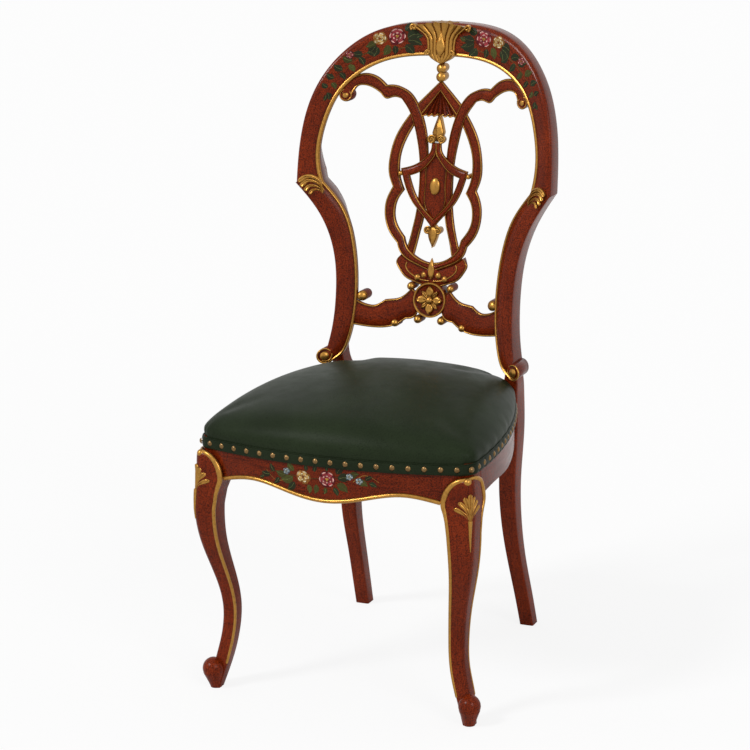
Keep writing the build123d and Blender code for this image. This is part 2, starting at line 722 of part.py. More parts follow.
# ------------------------------------------------------------------ seat rails
with BuildPart() as front_rail:
    with BuildSketch():
        add(seat_plan(0))
        with Locations((0, (front_y + front_rail_back_y) / 2)):
            Rectangle(2 * block_inner_x, front_rail_back_y - front_y, mode=Mode.INTERSECT)
    extrude(amount=rail_top)
    with BuildSketch(Plane.XZ.offset(-front_y)):
        with BuildLine():
            edge = Spline((-block_inner_x, front_rail_end), (-front_rail_arch_x, front_rail_arch),
                          (-60, front_rail_drop + 8), (0, front_rail_drop), (60, front_rail_drop + 8),
                          (front_rail_arch_x, front_rail_arch), (block_inner_x, front_rail_end))
            Polyline(edge @ 1, (block_inner_x, rail_top), (-block_inner_x, rail_top), edge @ 0)
        make_face()
    extrude(amount=-2 * front_bow - 40, mode=Mode.INTERSECT)
    add(seat_rail_dowels.part, mode=Mode.SUBTRACT)
    add(corner_block_screws.part, mode=Mode.SUBTRACT)
    add(brass_nails.part, mode=Mode.SUBTRACT)

with BuildPart() as side_rail_right:
    with BuildSketch():
        with BuildLine():
            outer = SagittaArc((corner_x, corner_y), (side_end_x, side_end_y), -side_bulge)
            inner = SagittaArc((corner_x - side_rail_depth, corner_y),
                               (side_end_x - side_rail_depth, side_end_y), -side_bulge)
            Line(outer @ 0, inner @ 0)
            Line(outer @ 1, inner @ 1)
        make_face()
        with Locations((corner_x, (block_back_y + side_end_y) / 2)):
            Rectangle(2 * corner_x, side_end_y - block_back_y, mode=Mode.INTERSECT)
    extrude(amount=rail_top)
    with BuildSketch(Plane.YZ):
        with BuildLine():
            edge = Spline((block_back_y, side_rail_arch - 3), (block_back_y + 65, side_rail_arch),
                          (side_rail_drop_y, side_rail_drop), (side_end_y - 55, side_rail_arch - 2),
                          (side_end_y, side_rail_arch - 3))
            Polyline(edge @ 1, (side_end_y, rail_top), (block_back_y, rail_top), edge @ 0)
        make_face()
    extrude(amount=2 * corner_x, mode=Mode.INTERSECT)
    add(seat_rail_dowels.part, mode=Mode.SUBTRACT)
    add(corner_block_screws.part, mode=Mode.SUBTRACT)
    add(brass_nails.part, mode=Mode.SUBTRACT)

with BuildPart() as side_rail_left:
    mirror(side_rail_right.part, about=Plane.YZ)

with BuildPart() as rear_rail:
    with BuildSketch(Plane.XY.offset(rear_rail_bottom)):
        with Locations((0, rear_rail_y + rear_rail_depth / 2)):
            Rectangle(2 * post_inner_x, rear_rail_depth)
    extrude(amount=rail_top - rear_rail_bottom)
    add(seat_rail_dowels.part, mode=Mode.SUBTRACT)
    add(corner_block_screws.part, mode=Mode.SUBTRACT)
    add(brass_nails.part, mode=Mode.SUBTRACT)

with BuildPart() as corner_block_front_right:
    with BuildSketch(Plane.XY.offset(rail_top - block_drop - block_height)):
        with BuildLine():
            face_x = block_inner_x - corner_block_reach
            Polyline((face_x, front_rail_back_y), (block_inner_x, front_rail_back_y),
                     (block_inner_x, block_back_y), (side_dowel_x, block_back_y),
                     (side_dowel_x, side_dowel_x - front_diagonal), close=True)
        make_face()
    extrude(amount=block_height)
    for solid in (side_rail_right, front_leg_right, corner_block_screws, seat_rail_dowels, brass_nails):
        add(solid.part, mode=Mode.SUBTRACT)

with BuildPart() as corner_block_front_left:
    mirror(corner_block_front_right.part, about=Plane.YZ)

with BuildPart() as corner_block_rear_right:
    with BuildSketch(Plane.XY.offset(rail_top - block_drop - block_height)):
        with BuildLine():
            face_x = post_inner_x - corner_block_reach
            Polyline((face_x, rear_rail_y), (post_inner_x, rear_rail_y), (post_inner_x, side_end_y),
                     (side_end_x - side_rail_depth / 2, side_end_y),
                     (post_x + 15, rear_diagonal - post_x - 15), close=True)
        make_face()
    extrude(amount=block_height)
    for solid in (side_rail_right, rear_post_right, corner_block_screws, seat_rail_dowels, brass_nails):
        add(solid.part, mode=Mode.SUBTRACT)

with BuildPart() as corner_block_rear_left:
    mirror(corner_block_rear_right.part, about=Plane.YZ)

# ------------------------------------------------------------------ seat
foam_bottom = rail_top + 2 * webbing_thick + hessian_thick
with BuildPart() as hessian:
    with BuildSketch(Plane.XY.offset(foam_bottom - hessian_thick)):
        add(webbing_plan)
    extrude(amount=hessian_thick)


def cushion(grow, bottom):
    """Domed seat body on the frame's plan, grown outward, from bottom up to the crown."""
    with BuildPart() as body:
        with BuildSketch(Plane.XY.offset(bottom)):
            add(seat_plan(grow, upholstery_gap))
        extrude(amount=seat_crown + 20 - bottom)
        with Locations((0, crown_y, seat_crown - leather - crown_radius)):
            Sphere(crown_radius + grow, mode=Mode.INTERSECT)
        crown_face = body.faces().sort_by(Axis.Z)[-1]
        fillet(crown_face.edges(), radius=seat_edge_radius + grow)
    return body.part


with BuildPart() as seat_foam:
    add(cushion(0, foam_bottom))

with BuildPart() as leather_cover:
    add(cushion(leather, band_bottom + 2))
    add(cushion(0, rail_top), mode=Mode.SUBTRACT)
    add(seat_prism.part, mode=Mode.SUBTRACT)
    add(brass_nails.part, mode=Mode.SUBTRACT)

with BuildPart() as leather_band:
    with BuildSketch(Plane.XY.offset(band_bottom)):
        add(seat_plan(leather + band_thick, upholstery_gap))
        add(seat_plan(leather, upholstery_gap), mode=Mode.SUBTRACT)
        add(seat_plan(0), mode=Mode.SUBTRACT)
    extrude(amount=band_top - band_bottom)
    add(brass_nails.part, mode=Mode.SUBTRACT)

with BuildPart() as dust_cover:
    with BuildSketch(Plane.XY.offset(rail_top - block_drop - block_height - dust_thick)):
        add(seat_plan(0))
    extrude(amount=dust_thick)
    for solid in (front_rail, side_rail_left, side_rail_right, rear_rail, front_leg_left,
                  front_leg_right, rear_post_left, rear_post_right, seat_rail_dowels):
        add(solid.part, mode=Mode.SUBTRACT)

pieces = {
    "front_leg_left": front_leg_left,
    "front_leg_right": front_leg_right,
    "knee_shell_left": knee_shell_left,
    "knee_shell_right": knee_shell_right,
    "rear_post_left": rear_post_left,
    "rear_post_right": rear_post_right,
    "stile_leaf_left": stile_leaf_left,
    "stile_leaf_right": stile_leaf_right,
    "crest_left": crest_left,
    "crest_right": crest_right,
    "crest_cartouche": crest_cartouche,
    "crest_dowels": crest_dowels,
    "cross_rail": cross_rail,
    "cross_rail_rosette": cross_rail_rosette,
    "cross_rail_dowels": cross_rail_dowels,
    "splat_wings": splat_wings,
    "splat_bud": splat_bud,
    "splat_loop": splat_loop,
    "splat_strap_left": splat_strap_left,
    "splat_strap_right": splat_strap_right,
    "splat_shield": splat_shield,
    "shield_boss": shield_boss,
    "shield_pins": shield_pins,
    "splat_pendant": splat_pendant,
    "splat_finial": splat_finial,
    "splat_pediment": splat_pediment,
    "splat_beads": splat_beads,
    "front_rail": front_rail,
    "side_rail_left": side_rail_left,
    "side_rail_right": side_rail_right,
    "rear_rail": rear_rail,
    "corner_block_front_left": corner_block_front_left,
    "corner_block_front_right": corner_block_front_right,
    "corner_block_rear_left": corner_block_rear_left,
    "corner_block_rear_right": corner_block_rear_right,
    "corner_block_screws": corner_block_screws,
    "seat_rail_dowels": seat_rail_dowels,
    "webbing_long": webbing_long,
    "webbing_cross": webbing_cross,
    "hessian": hessian,
    "seat_foam": seat_foam,
    "leather_cover": leather_cover,
    "leather_band": leather_band,
    "brass_nails": brass_nails,
    "dust_cover": dust_cover,
}
for name, piece in pieces.items():
    piece.part.label = name
    export_step(piece.part, f"parts/{name}.step")
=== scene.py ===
"""A painted and gilded balloon-back side chair with a nailed leather seat, dressed for viewing.

Lengths inside the functions are millimetres. They become metres as a mesh is made.
The back is worked out on its own leaning, hollowed sheet: x across, z up, and `deep` behind it.
"""

import json

import bpy
import numpy as np
from bpy.props import FloatProperty, FloatVectorProperty, IntProperty, PointerProperty
from mathutils import Matrix, Vector

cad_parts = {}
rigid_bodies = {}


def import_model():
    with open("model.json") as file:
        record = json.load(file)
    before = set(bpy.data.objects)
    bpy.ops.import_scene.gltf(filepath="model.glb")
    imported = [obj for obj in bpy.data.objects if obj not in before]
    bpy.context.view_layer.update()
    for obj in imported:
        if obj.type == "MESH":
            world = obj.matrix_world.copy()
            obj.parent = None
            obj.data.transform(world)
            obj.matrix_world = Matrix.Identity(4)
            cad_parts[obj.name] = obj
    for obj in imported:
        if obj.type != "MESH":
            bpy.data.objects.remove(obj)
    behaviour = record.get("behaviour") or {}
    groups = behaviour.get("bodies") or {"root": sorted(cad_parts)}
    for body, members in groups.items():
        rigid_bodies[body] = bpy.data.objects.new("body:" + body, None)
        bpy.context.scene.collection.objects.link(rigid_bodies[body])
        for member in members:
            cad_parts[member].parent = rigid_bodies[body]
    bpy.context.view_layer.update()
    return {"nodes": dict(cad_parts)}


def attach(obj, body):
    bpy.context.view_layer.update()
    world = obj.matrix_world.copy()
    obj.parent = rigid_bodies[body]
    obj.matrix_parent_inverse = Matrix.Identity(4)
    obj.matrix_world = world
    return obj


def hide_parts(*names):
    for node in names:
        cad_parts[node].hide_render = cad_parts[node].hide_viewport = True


bl_info = {
    "name": "Balloon-back side chair",
    "version": (1, 0, 0),
    "blender": (4, 5, 0),
    "location": "View3D > Sidebar > Side chair",
    "description": "Makes the carving, gilding, painted sprays and leather seat of a side chair",
    "category": "Add Mesh",
}

for startup_thing in list(bpy.data.objects):
    bpy.data.objects.remove(startup_thing)
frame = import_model()

MM = 0.001

# the back's sheet: its y at x = 0 and at this height, its hollow and its lean
FACE_Y, FACE_Z = 181.0, 700.0
BACK_RADIUS = 400.0
BACK_SLOPE = 0.16
# depths of the wood behind the sheet, and how far the splat stands back from it
STILE_DEPTH = 50.0
CROSS_RAIL_DEPTH = 24.0
FRET_DEPTH = 16.0
SPLAT_FRONT = 4.0
# the crest's rounded outer edge: how far in it starts, and how far it falls
CREST_ROUND, CREST_FALL = 12.0, 9.0
VOLUTE = (173.5, 490.5)
# the seat's outline
CORNER_X, CORNER_Y = 235.0, -244.0
FRONT_BOW, SIDE_BULGE = 39.0, 22.0
SIDE_END_X, SIDE_END_Y = 160.0, 147.0
POST_INNER_X, REAR_FACE_Y = 134.0, 176.0
POST_GAP = 3.3
# the cushion: a ball's radius, its top, how far in front of the middle that is, and the highest point
CROWN_RADIUS, CROWN_TOP, CROWN_FORWARD, CROWN_LIMIT = 960.0, 510.0, 52.0, 513.0
CUSHION_FOOT, CUSHION_EDGE, CUSHION_SHOULDER = 424.0, 446.0, 52.0
CUSHION_RING = 300
# its simulation, in metres: mesh size, furthest move, and the height below which it is nailed
VOXEL, FURTHEST_MOVE, NAILED_BELOW = 0.005, 0.003, 0.441
CLOTH_FRAMES = 20
# the leather band: how far outside the seat's outline it lies, and the points round it
BAND_GROW, BAND_RING = 2.7, 1400
# points of the nails that lie further apart than this along the band belong to two nails
NAIL_GAP = 7
# the cloth under the seat
DUST_FRONT, DUST_REAR, DUST_HEIGHT, DUST_THICK = -228.0, 149.0, 388.0, 0.8
# front leg: height, x, y, half width of its rounded square
LEG = np.array([(0, 226, -237, 9), (40, 217, -229.5, 12), (90, 205, -224, 12.3),
                (140, 202, -219.5, 12.7), (200, 209.5, -229, 14.6), (260, 220.4, -243.5, 17.8),
                (320, 223.5, -249.5, 20.6), (403, 215.5, -243, 21.5)])


# ---------------------------------------------------------------- curves

def spline(points, count, start=None, end=None):
    """Piecewise cubic C(t) through the points, t the summed chord length.

    C'' is continuous. At an end C'' = 0, or C' is the direction given there.
    """
    p = np.asarray(points, float)
    chord = np.linalg.norm(np.diff(p, axis=0), axis=1)
    t = np.concatenate([[0], np.cumsum(chord)])
    n = len(p)
    a = np.zeros((n, n))
    b = np.zeros_like(p)
    i = np.arange(1, n - 1)
    a[i, i - 1] = 1 / chord[:-1]
    a[i, i + 1] = 1 / chord[1:]
    a[i, i] = 2 / chord[:-1] + 2 / chord[1:]
    rise = np.diff(p, axis=0)
    b[i] = 3 * (rise[:-1] / chord[:-1, None] ** 2 + rise[1:] / chord[1:, None] ** 2)
    for row, near, held, run, step in ((0, 1, start, rise[0], chord[0]),
                                       (-1, -2, end, rise[-1], chord[-1])):
        if held is None:
            a[row, row], a[row, near] = 2, 1
            b[row] = 3 * run / step
        else:
            a[row, row] = 1
            b[row] = np.asarray(held, float) / np.linalg.norm(held)
    slope = np.linalg.solve(a, b)
    at = np.linspace(0, t[-1], count)
    k = np.clip(np.searchsorted(t, at, "right") - 1, 0, n - 2)
    s = ((at - t[k]) / chord[k])[:, None]
    h = chord[k][:, None]
    return ((2 * s**3 - 3 * s**2 + 1) * p[k] + (s**3 - 2 * s**2 + s) * h * slope[k]
            + (3 * s**2 - 2 * s**3) * p[k + 1] + (s**3 - s**2) * h * slope[k + 1])


def chain(*runs):
    """Runs end to end, each shared end kept once."""
    return np.concatenate([runs[0]] + [run[1:] for run in runs[1:]])


def even(path, count):
    """The same path with its points at equal steps of length."""
    path = np.asarray(path, float)
    along = np.concatenate([[0], np.cumsum(np.linalg.norm(np.diff(path, axis=0), axis=1))])
    at = np.linspace(0, along[-1], count)
    return np.stack([np.interp(at, along, path[:, c]) for c in range(path.shape[1])], axis=1)


def mirrored(path):
    """The path with x turned to -x."""
    return path * ([-1] + [1] * (path.shape[1] - 1))


def whole(half):
    """A path that starts on the centre line, joined to its mirror image."""
    return chain(mirrored(half)[::-1], half)


def unit(v):
    """v / |v| along the last axis."""
    return v / np.maximum(np.linalg.norm(v, axis=-1, keepdims=True), 1e-9)


def back_y(x, z):
    """The sheet: its face plus slope (z - face height), less the hollow R - sqrt(R^2 - x^2)."""
    return FACE_Y + BACK_SLOPE * (z - FACE_Z) - (BACK_RADIUS - np.sqrt(BACK_RADIUS**2 - x**2))


def on_back(deep):
    """Places (p, q, h) at x = p, z = q, h in front of the sheet that lies `deep` behind the face."""
    return lambda p, q, h: np.stack([p, back_y(p, q) + deep - h, q], axis=-1)


def on_crest(p, q, h):
    """The crest's face, which falls back near its outer edge by a quarter of an ellipse.

    At distance d inside the edge the fall is F (1 - sqrt(1 - (1 - d / R)^2)), and 0 past R.
    """
    gap = np.min(np.hypot(p[..., None] - np.concatenate([CREST_OUTER[:, 0], -CREST_OUTER[:, 0]]),
                          q[..., None] - np.tile(CREST_OUTER[:, 1], 2)), axis=-1)
    fall = CREST_FALL * (1 - np.sqrt(1 - (1 - np.clip(gap / CREST_ROUND, 0, 1)) ** 2))
    return on_back(0)(p, q, h - fall)


def front_y(x):
    """Face of the front rail: a circular arc through both corners and the middle."""
    radius = (CORNER_X**2 + FRONT_BOW**2) / (2 * FRONT_BOW)
    return CORNER_Y - FRONT_BOW + radius - np.sqrt(radius**2 - x**2)


def on_front(lift):
    """Places (p, q, h) at x = p, z = q, h + lift in front of the front rail."""
    return lambda p, q, h: np.stack([p, front_y(p) - lift - h, q], axis=-1)


# ---------------------------------------------------------------- surfaces

def weave(points, gilt=0.0, grime=0.0, tint=None, caps=True):
    """A closed surface on a grid P(i, j): i runs along, j round, and the last j joins the first.

    A fan to the ring's mean closes each end. Texture place is (length along, length round).
    """
    points = np.asarray(points, float)
    n, m = points.shape[:2]
    along = np.concatenate([[0], np.cumsum(np.linalg.norm(np.diff(points, axis=0), axis=2).mean(1))])
    steps = np.linalg.norm(points - np.roll(points, -1, 1), axis=2).mean(0)
    across = np.concatenate([[0], np.cumsum(steps)])
    i, j = np.meshgrid(np.arange(n - 1), np.arange(m), indexing="ij")
    k = (j + 1) % m
    quads = np.stack([i * m + j, i * m + k, (i + 1) * m + k, (i + 1) * m + j], -1).reshape(-1, 4)
    u = np.stack([along[i], along[i], along[i + 1], along[i + 1]], -1).reshape(-1, 4)
    v = np.stack([across[j], across[j + 1], across[j + 1], across[j]], -1).reshape(-1, 4)
    verts = points.reshape(-1, 3)
    tris = np.zeros((0, 3), int)
    cap_uv = np.zeros((0, 3, 2))
    gilt = np.broadcast_to(gilt, (n, m)).reshape(-1)
    grime = np.broadcast_to(grime, (n, m)).reshape(-1)
    if caps:
        c = np.arange(m)
        d = (c + 1) % m
        low = np.stack([np.full(m, n * m), d, c], -1)
        last = (n - 1) * m
        high = np.stack([np.full(m, n * m + 1), last + c, last + d], -1)
        tris = np.concatenate([low, high])
        verts = np.concatenate([verts, points[[0, -1]].mean(1)])
        gilt = np.concatenate([gilt, [gilt[:m].mean(), gilt[last:last + m].mean()]])
        grime = np.concatenate([grime, [grime[:m].mean(), grime[last:last + m].mean()]])
        cap_uv = verts[tris][..., [0, 2]]
    shell = {"verts": verts, "quads": quads, "tris": tris, "gilt": gilt, "grime": grime,
             "uv4": np.stack([u, v], -1), "uv3": cap_uv,
             "tint": np.tile((1.0, 1.0, 1.0) if tint is None else tint, (len(verts), 1))}
    return outward(shell)


def outward(shell):
    """Turns the faces round where the signed volume, the sum of a . (b x c) / 6, is negative."""
    v = shell["verts"] - shell["verts"].mean(0)
    q, t = shell["quads"], shell["tris"]
    corners = np.concatenate([q[:, [0, 1, 2]], q[:, [0, 2, 3]], t])
    a, b, c = v[corners[:, 0]], v[corners[:, 1]], v[corners[:, 2]]
    if np.einsum("ij,ij->i", a, np.cross(b, c)).sum() < 0:
        for faces, uv in (("quads", "uv4"), ("tris", "uv3")):
            shell[faces] = shell[faces][:, ::-1]
            shell[uv] = shell[uv][:, ::-1]
    return shell


def flipped(shell):
    """The shell's mirror image across x = 0."""
    twin = dict(shell)
    twin["verts"] = shell["verts"] * (-1, 1, 1)
    return outward(twin)


def opposite(shells):
    """The mirror images of shells."""
    return [flipped(s) for s in shells]


def both(shells):
    """Shells with their mirror images."""
    return shells + opposite(shells)


def rod(path, radius, sides=10, toward=(0, -1, 0), flat=1.0, **look):
    """A round bar: C(t) + r (cos a N + flat sin a B), N the part of `toward` across the path."""
    path = np.asarray(path, float)
    tangent = unit(np.gradient(path, axis=0))
    toward = np.broadcast_to(np.asarray(toward, float), path.shape)
    normal = unit(toward - (toward * tangent).sum(1, keepdims=True) * tangent)
    side = np.cross(tangent, normal)
    a = np.linspace(0, 2 * np.pi, sides, endpoint=False)[None, :, None]
    r = np.broadcast_to(radius, (len(path),))[:, None, None]
    ring = normal[:, None] * np.cos(a) + flat * side[:, None] * np.sin(a)
    return weave(path[:, None] + r * ring, **look)


def turned(centre, profile, place, sides=40, *, grime, gilt=0.0, tall=1.0):
    """Turning round the sheet's own axis: p + r cos a, q + tall r sin a, h, for rows (r, h)."""
    profile = np.asarray(profile, float)
    a = np.linspace(0, 2 * np.pi, sides, endpoint=False)[None]
    r, h = profile[:, :1], profile[:, 1:2] + 0 * a
    colour = [np.broadcast_to(np.reshape(x, (-1, 1)), h.shape) for x in (gilt, grime)]
    return weave(place(centre[0] + r * np.cos(a), centre[1] + tall * r * np.sin(a), h),
                 gilt=colour[0], grime=colour[1])


def lobe(path, half, rise, place, lift=0.0, sink=3.0, groove=0.0, columns=9, **look):
    """A carved leaf: at distance s across, h = lift + rise sqrt(1 - s^2) - groove exp(-12 s^2).

    `path` is its centre line in the sheet, `half` its half width along it, `sink` its under side.
    """
    path = np.asarray(path, float)
    n = len(path)
    tangent = unit(np.gradient(path, axis=0))
    side = np.stack([-tangent[:, 1], tangent[:, 0]], -1)
    s = np.cos(np.linspace(np.pi, 0, columns))[None]
    half = np.maximum(np.broadcast_to(half, (n,)), 0.02)[:, None]
    lift = np.broadcast_to(lift, (n,))[:, None]
    swell = np.broadcast_to(rise, (n,))[:, None] * np.minimum(1, half / half.max() + 0.25)
    top = lift + swell * np.sqrt(np.maximum(0, 1 - s**2)) - groove * np.exp(-12 * s**2)
    across = np.concatenate([s * half, s[:, ::-1] * half * 0.85], 1)
    height = np.concatenate([top, 0 * s - sink + 0 * lift], 1)
    p = path[:, :1] + side[:, :1] * across
    q = path[:, 1:] + side[:, 1:] * across
    return weave(place(p, q, height), **look)


def scroll(centre, turn, reach, height, thick, place, count=50):
    """A gold wire wound round a centre: p + r cos a, q + r sin a at one height.

    The angle a in degrees, the reach r and the wire's radius run evenly between their two values.
    """
    a, r, thick = (np.linspace(*ends, count) for ends in (turn, reach, thick))
    a = np.radians(a)
    return rod(place(centre[0] + r * np.cos(a), centre[1] + r * np.sin(a), height + 0 * a), thick, gilt=1.0)


def plate(place, p, q, face, rear, grime, gilt=0.0):
    """A closed plate: the grid P(i, j) of its face, then the same grid back again at its rear."""
    def there_and_back(there, back):
        return np.concatenate([there, back[:, ::-1]], 1)

    level = 0 * face
    # the face keeps its own shade values; the rear gets 0.5 of painted shade
    return weave(place(there_and_back(p, p), there_and_back(q, q), there_and_back(face, rear + level)),
                 gilt=gilt, grime=there_and_back(np.clip(grime, 0, 1) + level, 0.5 + level))


def leaf_width(width, count, tip=0.75):
    """width sin(pi u^tip): pointed at both ends, widest past the middle for tip over 1."""
    return width * np.sin(np.pi * np.linspace(0, 1, count) ** tip)


def spoon_width(width, count):
    """width (0.16 + 0.84 u^1.7) sqrt(1 - u^9): a narrow foot and a broad round end."""
    u = np.linspace(0, 1, count)
    return width * (0.16 + 0.84 * u**1.7) * np.sqrt(np.maximum(0, 1 - u**9))


def moulding(left, right, section, thick, base=0.0, front=0.0, rear=None, full=0.0):
    """A section carried between two edges: L + share (R - L) + inset N, at its own depth.

    A section row is (share, inset, deep, gilt, shade), the last one painted shade, with a little
    glaze, on hollows, sides and back. N is the unit of R - L, and an inset shrinks with a bar
    narrower than 9. `front` moves the face back and leaves the rear where it is:
    deep + front (1 - deep / thick). `rear` draws the back in along the path. `full`, from 0 to 1,
    takes the bevel off the section's last two rows: share + full (1 - share).
    """
    share, inset, deep, gilt, grime = np.asarray(section, float).T
    full = np.broadcast_to(full, (len(left),))[:, None] * (np.arange(len(share)) >= len(share) - 2)
    share = share + (1 - share) * full
    run = right - left
    wide = np.linalg.norm(run, axis=1)
    n = unit(run)
    tight = np.minimum(1, wide / 9)[:, None]
    p = left[:, :1] + run[:, :1] * share + n[:, :1] * inset * tight
    q = left[:, 1:] + run[:, 1:] * share + n[:, 1:] * inset * tight
    front = np.broadcast_to(front, (len(left),))[:, None]
    rear = np.broadcast_to(thick if rear is None else rear, (len(left),))[:, None]
    y_deep = deep * rear / thick + front * (1 - deep / thick)
    return weave(on_back(base)(p, q, -y_deep), gilt=gilt, grime=grime)


def bar(thick=FRET_DEPTH, crown=2.3, line=2.2):
    """Section of a splat bar: a gold line on each front arris, a domed face, a back bevelled thin.

    The dome is deep = 1 - crown 4 s (1 - s) for s from 0 to 1 across.
    """
    # the last number of a row is painted shade: on the side walls and back, darkest in the groove by the
    # gold line
    near = [(.3, 0, thick, 0, .5), (.24, 0, thick - 1, 0, .4), (0, -.8, 5, 0, .3),
            (0, -.8, 2, 0, .2), (0, -.3, 1.3, 0, .1), (0, 0, 1.1, 1, 0), (0, .2 * line, .25, 1, 0),
            (0, .5 * line, -.1, 1, 0), (0, .8 * line, .25, 1, 0), (0, .95 * line, .95, 1, .5),
            (0, line, 1.05, 0, 1)]
    s = np.linspace(0.14, 0.86, 7)
    dome = [(a, line * (1 - 2 * a), 1 - crown * 4 * a * (1 - a), 0, 0) for a in s]
    far = [(1 - a, -b, c, d, e) for a, b, c, d, e in reversed(near)]
    return near + dome + far


def edged(width, thick, round_side, round_rows, ridge):
    """Section of a frame bar: rounded outer arris, face with a low ridge, gold bead, bevelled back.

    The round is R (1 - cos a) in and 0.75 R (1 - sin a) deep, for a from 0 to a right angle.
    `width` is the bead's.
    """
    turn = np.linspace(0, np.pi / 2, round_rows)
    # the last number of a row is painted shade: on the outer side and back, and in the groove by the bead
    outer = [(0, 4, thick, 0, .5), (0, 1, thick - 3, 0, .4), (0, 0, thick - 7, 0, .3),
             (0, 0, round_side + 6, 0, .1)]
    outer += [(0, round_side * (1 - np.cos(a)), round_side * (1 - np.sin(a)) * 0.75, 0, 0) for a in turn]
    face = [(.45, 0, -ridge * .75, 0, 0), (.58, 0, -ridge, 0, 0), (.7, 0, -ridge * .6, 0, 0)]
    bead = [(1, -width - 1.2, .2, 0, .2), (1, -width - .3, 1.1, 0, 1), (1, -width, 1, 1, .5),
            (1, -width * .8, -.1, 1, 0), (1, -width * .5, -.7, 1, 0), (1, -width * .2, -.1, 1, 0),
            (1, 0, 1.4, 1, 0), (1, 0, 3.6, 1, .5), (1, 0, 3.9, 0, .5), (1, 0, 8, 0, .4),
            (.46, 0, thick - 2, 0, .4), (.4, 0, thick, 0, .5)]
    return outer + face + bead


# ---------------------------------------------------------------- meshes

CREASE = 38.0


def make_piece(name, shells, material, stands_for=()):
    """Joins shells into one mesh at the origin, in metres, riding on the chair."""
    start = np.cumsum([0] + [len(s["verts"]) for s in shells])
    verts = np.concatenate([s["verts"] for s in shells]) * MM
    if not np.isfinite(verts).all():
        raise ValueError(f"{name} has a point that is not a number")
    quads = np.concatenate([s["quads"] + at for s, at in zip(shells, start)])
    tris = np.concatenate([s["tris"] + at for s, at in zip(shells, start)])
    corners = np.concatenate([quads.reshape(-1), tris.reshape(-1)]).astype(np.int32)
    firsts = np.concatenate([np.arange(len(quads)) * 4, len(quads) * 4 + np.arange(len(tris)) * 3])
    uv = np.concatenate([np.concatenate([s["uv4"] for s in shells]).reshape(-1, 2),
                         np.concatenate([s["uv3"] for s in shells]).reshape(-1, 2)])
    mesh = bpy.data.meshes.new(name)
    mesh.vertices.add(len(verts))
    mesh.vertices.foreach_set("co", verts.ravel())
    mesh.loops.add(len(corners))
    mesh.loops.foreach_set("vertex_index", corners)
    mesh.polygons.add(len(firsts))
    mesh.polygons.foreach_set("loop_start", firsts.astype(np.int32))
    mesh.update(calc_edges=True)
    mesh.uv_layers.new(name="UVMap").data.foreach_set("uv", (uv * MM).ravel())
    # gilt marks the gold; the other attribute is painted shade, with a little glaze, for hollows, side
    # walls and backs
    for key in ("gilt", "grime"):
        values = np.concatenate([s[key] for s in shells])
        mesh.attributes.new(key, "FLOAT", "POINT").data.foreach_set("value", values)
    tint = np.concatenate([s["tint"] for s in shells])
    rgba = np.concatenate([tint, np.ones((len(tint), 1))], 1)
    mesh.attributes.new("tint", "FLOAT_COLOR", "POINT").data.foreach_set("color", rgba.ravel())
    mesh.shade_smooth()
    mesh.set_sharp_from_angle(angle=np.radians(CREASE))
    mesh.materials.append(material)
    piece = bpy.data.objects.new(name, mesh)
    bpy.context.scene.collection.objects.link(piece)
    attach(piece, "root")
    if stands_for:
        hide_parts(*stands_for)
    return piece


# ---------------------------------------------------------------- finishes

def feed(tree, socket, value):
    """Gives an input a plain value, or links the output that feeds it."""
    if isinstance(value, bpy.types.NodeSocket):
        tree.links.new(value, socket)
    else:
        socket.default_value = value


def add_node(tree, kind, inputs=None, **props):
    """A new node with its properties set and its inputs fed."""
    made = tree.nodes.new(kind)
    for key, value in props.items():
        setattr(made, key, value)
    for key, value in (inputs or {}).items():
        feed(tree, made.inputs[key], value)
    return made


class Recipe:
    """A material built node by node."""

    def __init__(self, name):
        self.material = bpy.data.materials.new(name)
        self.material.use_nodes = True
        self.tree = self.material.node_tree
        self.tree.nodes.clear()
        self.shader = self.node("ShaderNodeBsdfPrincipled")
        out = self.node("ShaderNodeOutputMaterial")
        self.tree.links.new(self.shader.outputs[0], out.inputs["Surface"])
        self.coords = self.node("ShaderNodeTexCoord")

    def node(self, kind, inputs=None, **props):
        return add_node(self.tree, kind, inputs, **props)

    def stretched(self, scale, layer="Object"):
        """Object or UV coordinates scaled along each axis."""
        return self.node("ShaderNodeMapping", {"Vector": self.coords.outputs[layer],
                                               "Scale": scale}).outputs[0]

    def noise(self, scale, detail, rough=0.55, vector=None):
        """Noise from 0 to 1, in the object's own coordinates where no others are given."""
        vector = vector or self.coords.outputs["Object"]
        return self.node("ShaderNodeTexNoise", {"Vector": vector, "Scale": scale, "Detail": detail,
                                                "Roughness": rough}).outputs["Fac"]

    def range(self, value, low, high, to_low=0.0, to_high=1.0):
        """The value's run from low to high, spread from to_low to to_high."""
        return self.node("ShaderNodeMapRange", {"Value": value, "From Min": low, "From Max": high,
                                                "To Min": to_low, "To Max": to_high}).outputs[0]

    def math(self, operation, a, b):
        return self.node("ShaderNodeMath", {0: a, 1: b}, operation=operation, use_clamp=True).outputs[0]

    def attribute(self, name, output="Fac"):
        return self.node("ShaderNodeAttribute", attribute_name=name).outputs[output]

    def mix(self, fac, a, b):
        """From a to b by fac. Each is a number, a colour or a socket."""
        made = self.node("ShaderNodeMix", data_type="RGBA")
        for socket, value in ((0, fac), (6, a), (7, b)):
            plain = isinstance(value, (bpy.types.NodeSocket, float))
            feed(self.tree, made.inputs[socket], value if plain else (*value[:3], 1.0))
        return made.outputs[2]

    def bump(self, height, distance, strength, normal=None):
        inputs = {"Height": height, "Distance": distance, "Strength": strength}
        if normal:
            inputs["Normal"] = normal
        return self.node("ShaderNodeBump", inputs).outputs[0]

    def set(self, **values):
        """Puts values or sockets on the shader's own inputs and gives the finished material."""
        for key, value in values.items():
            feed(self.tree, self.shader.inputs[key.replace("_", " ")], value)
        return self.material


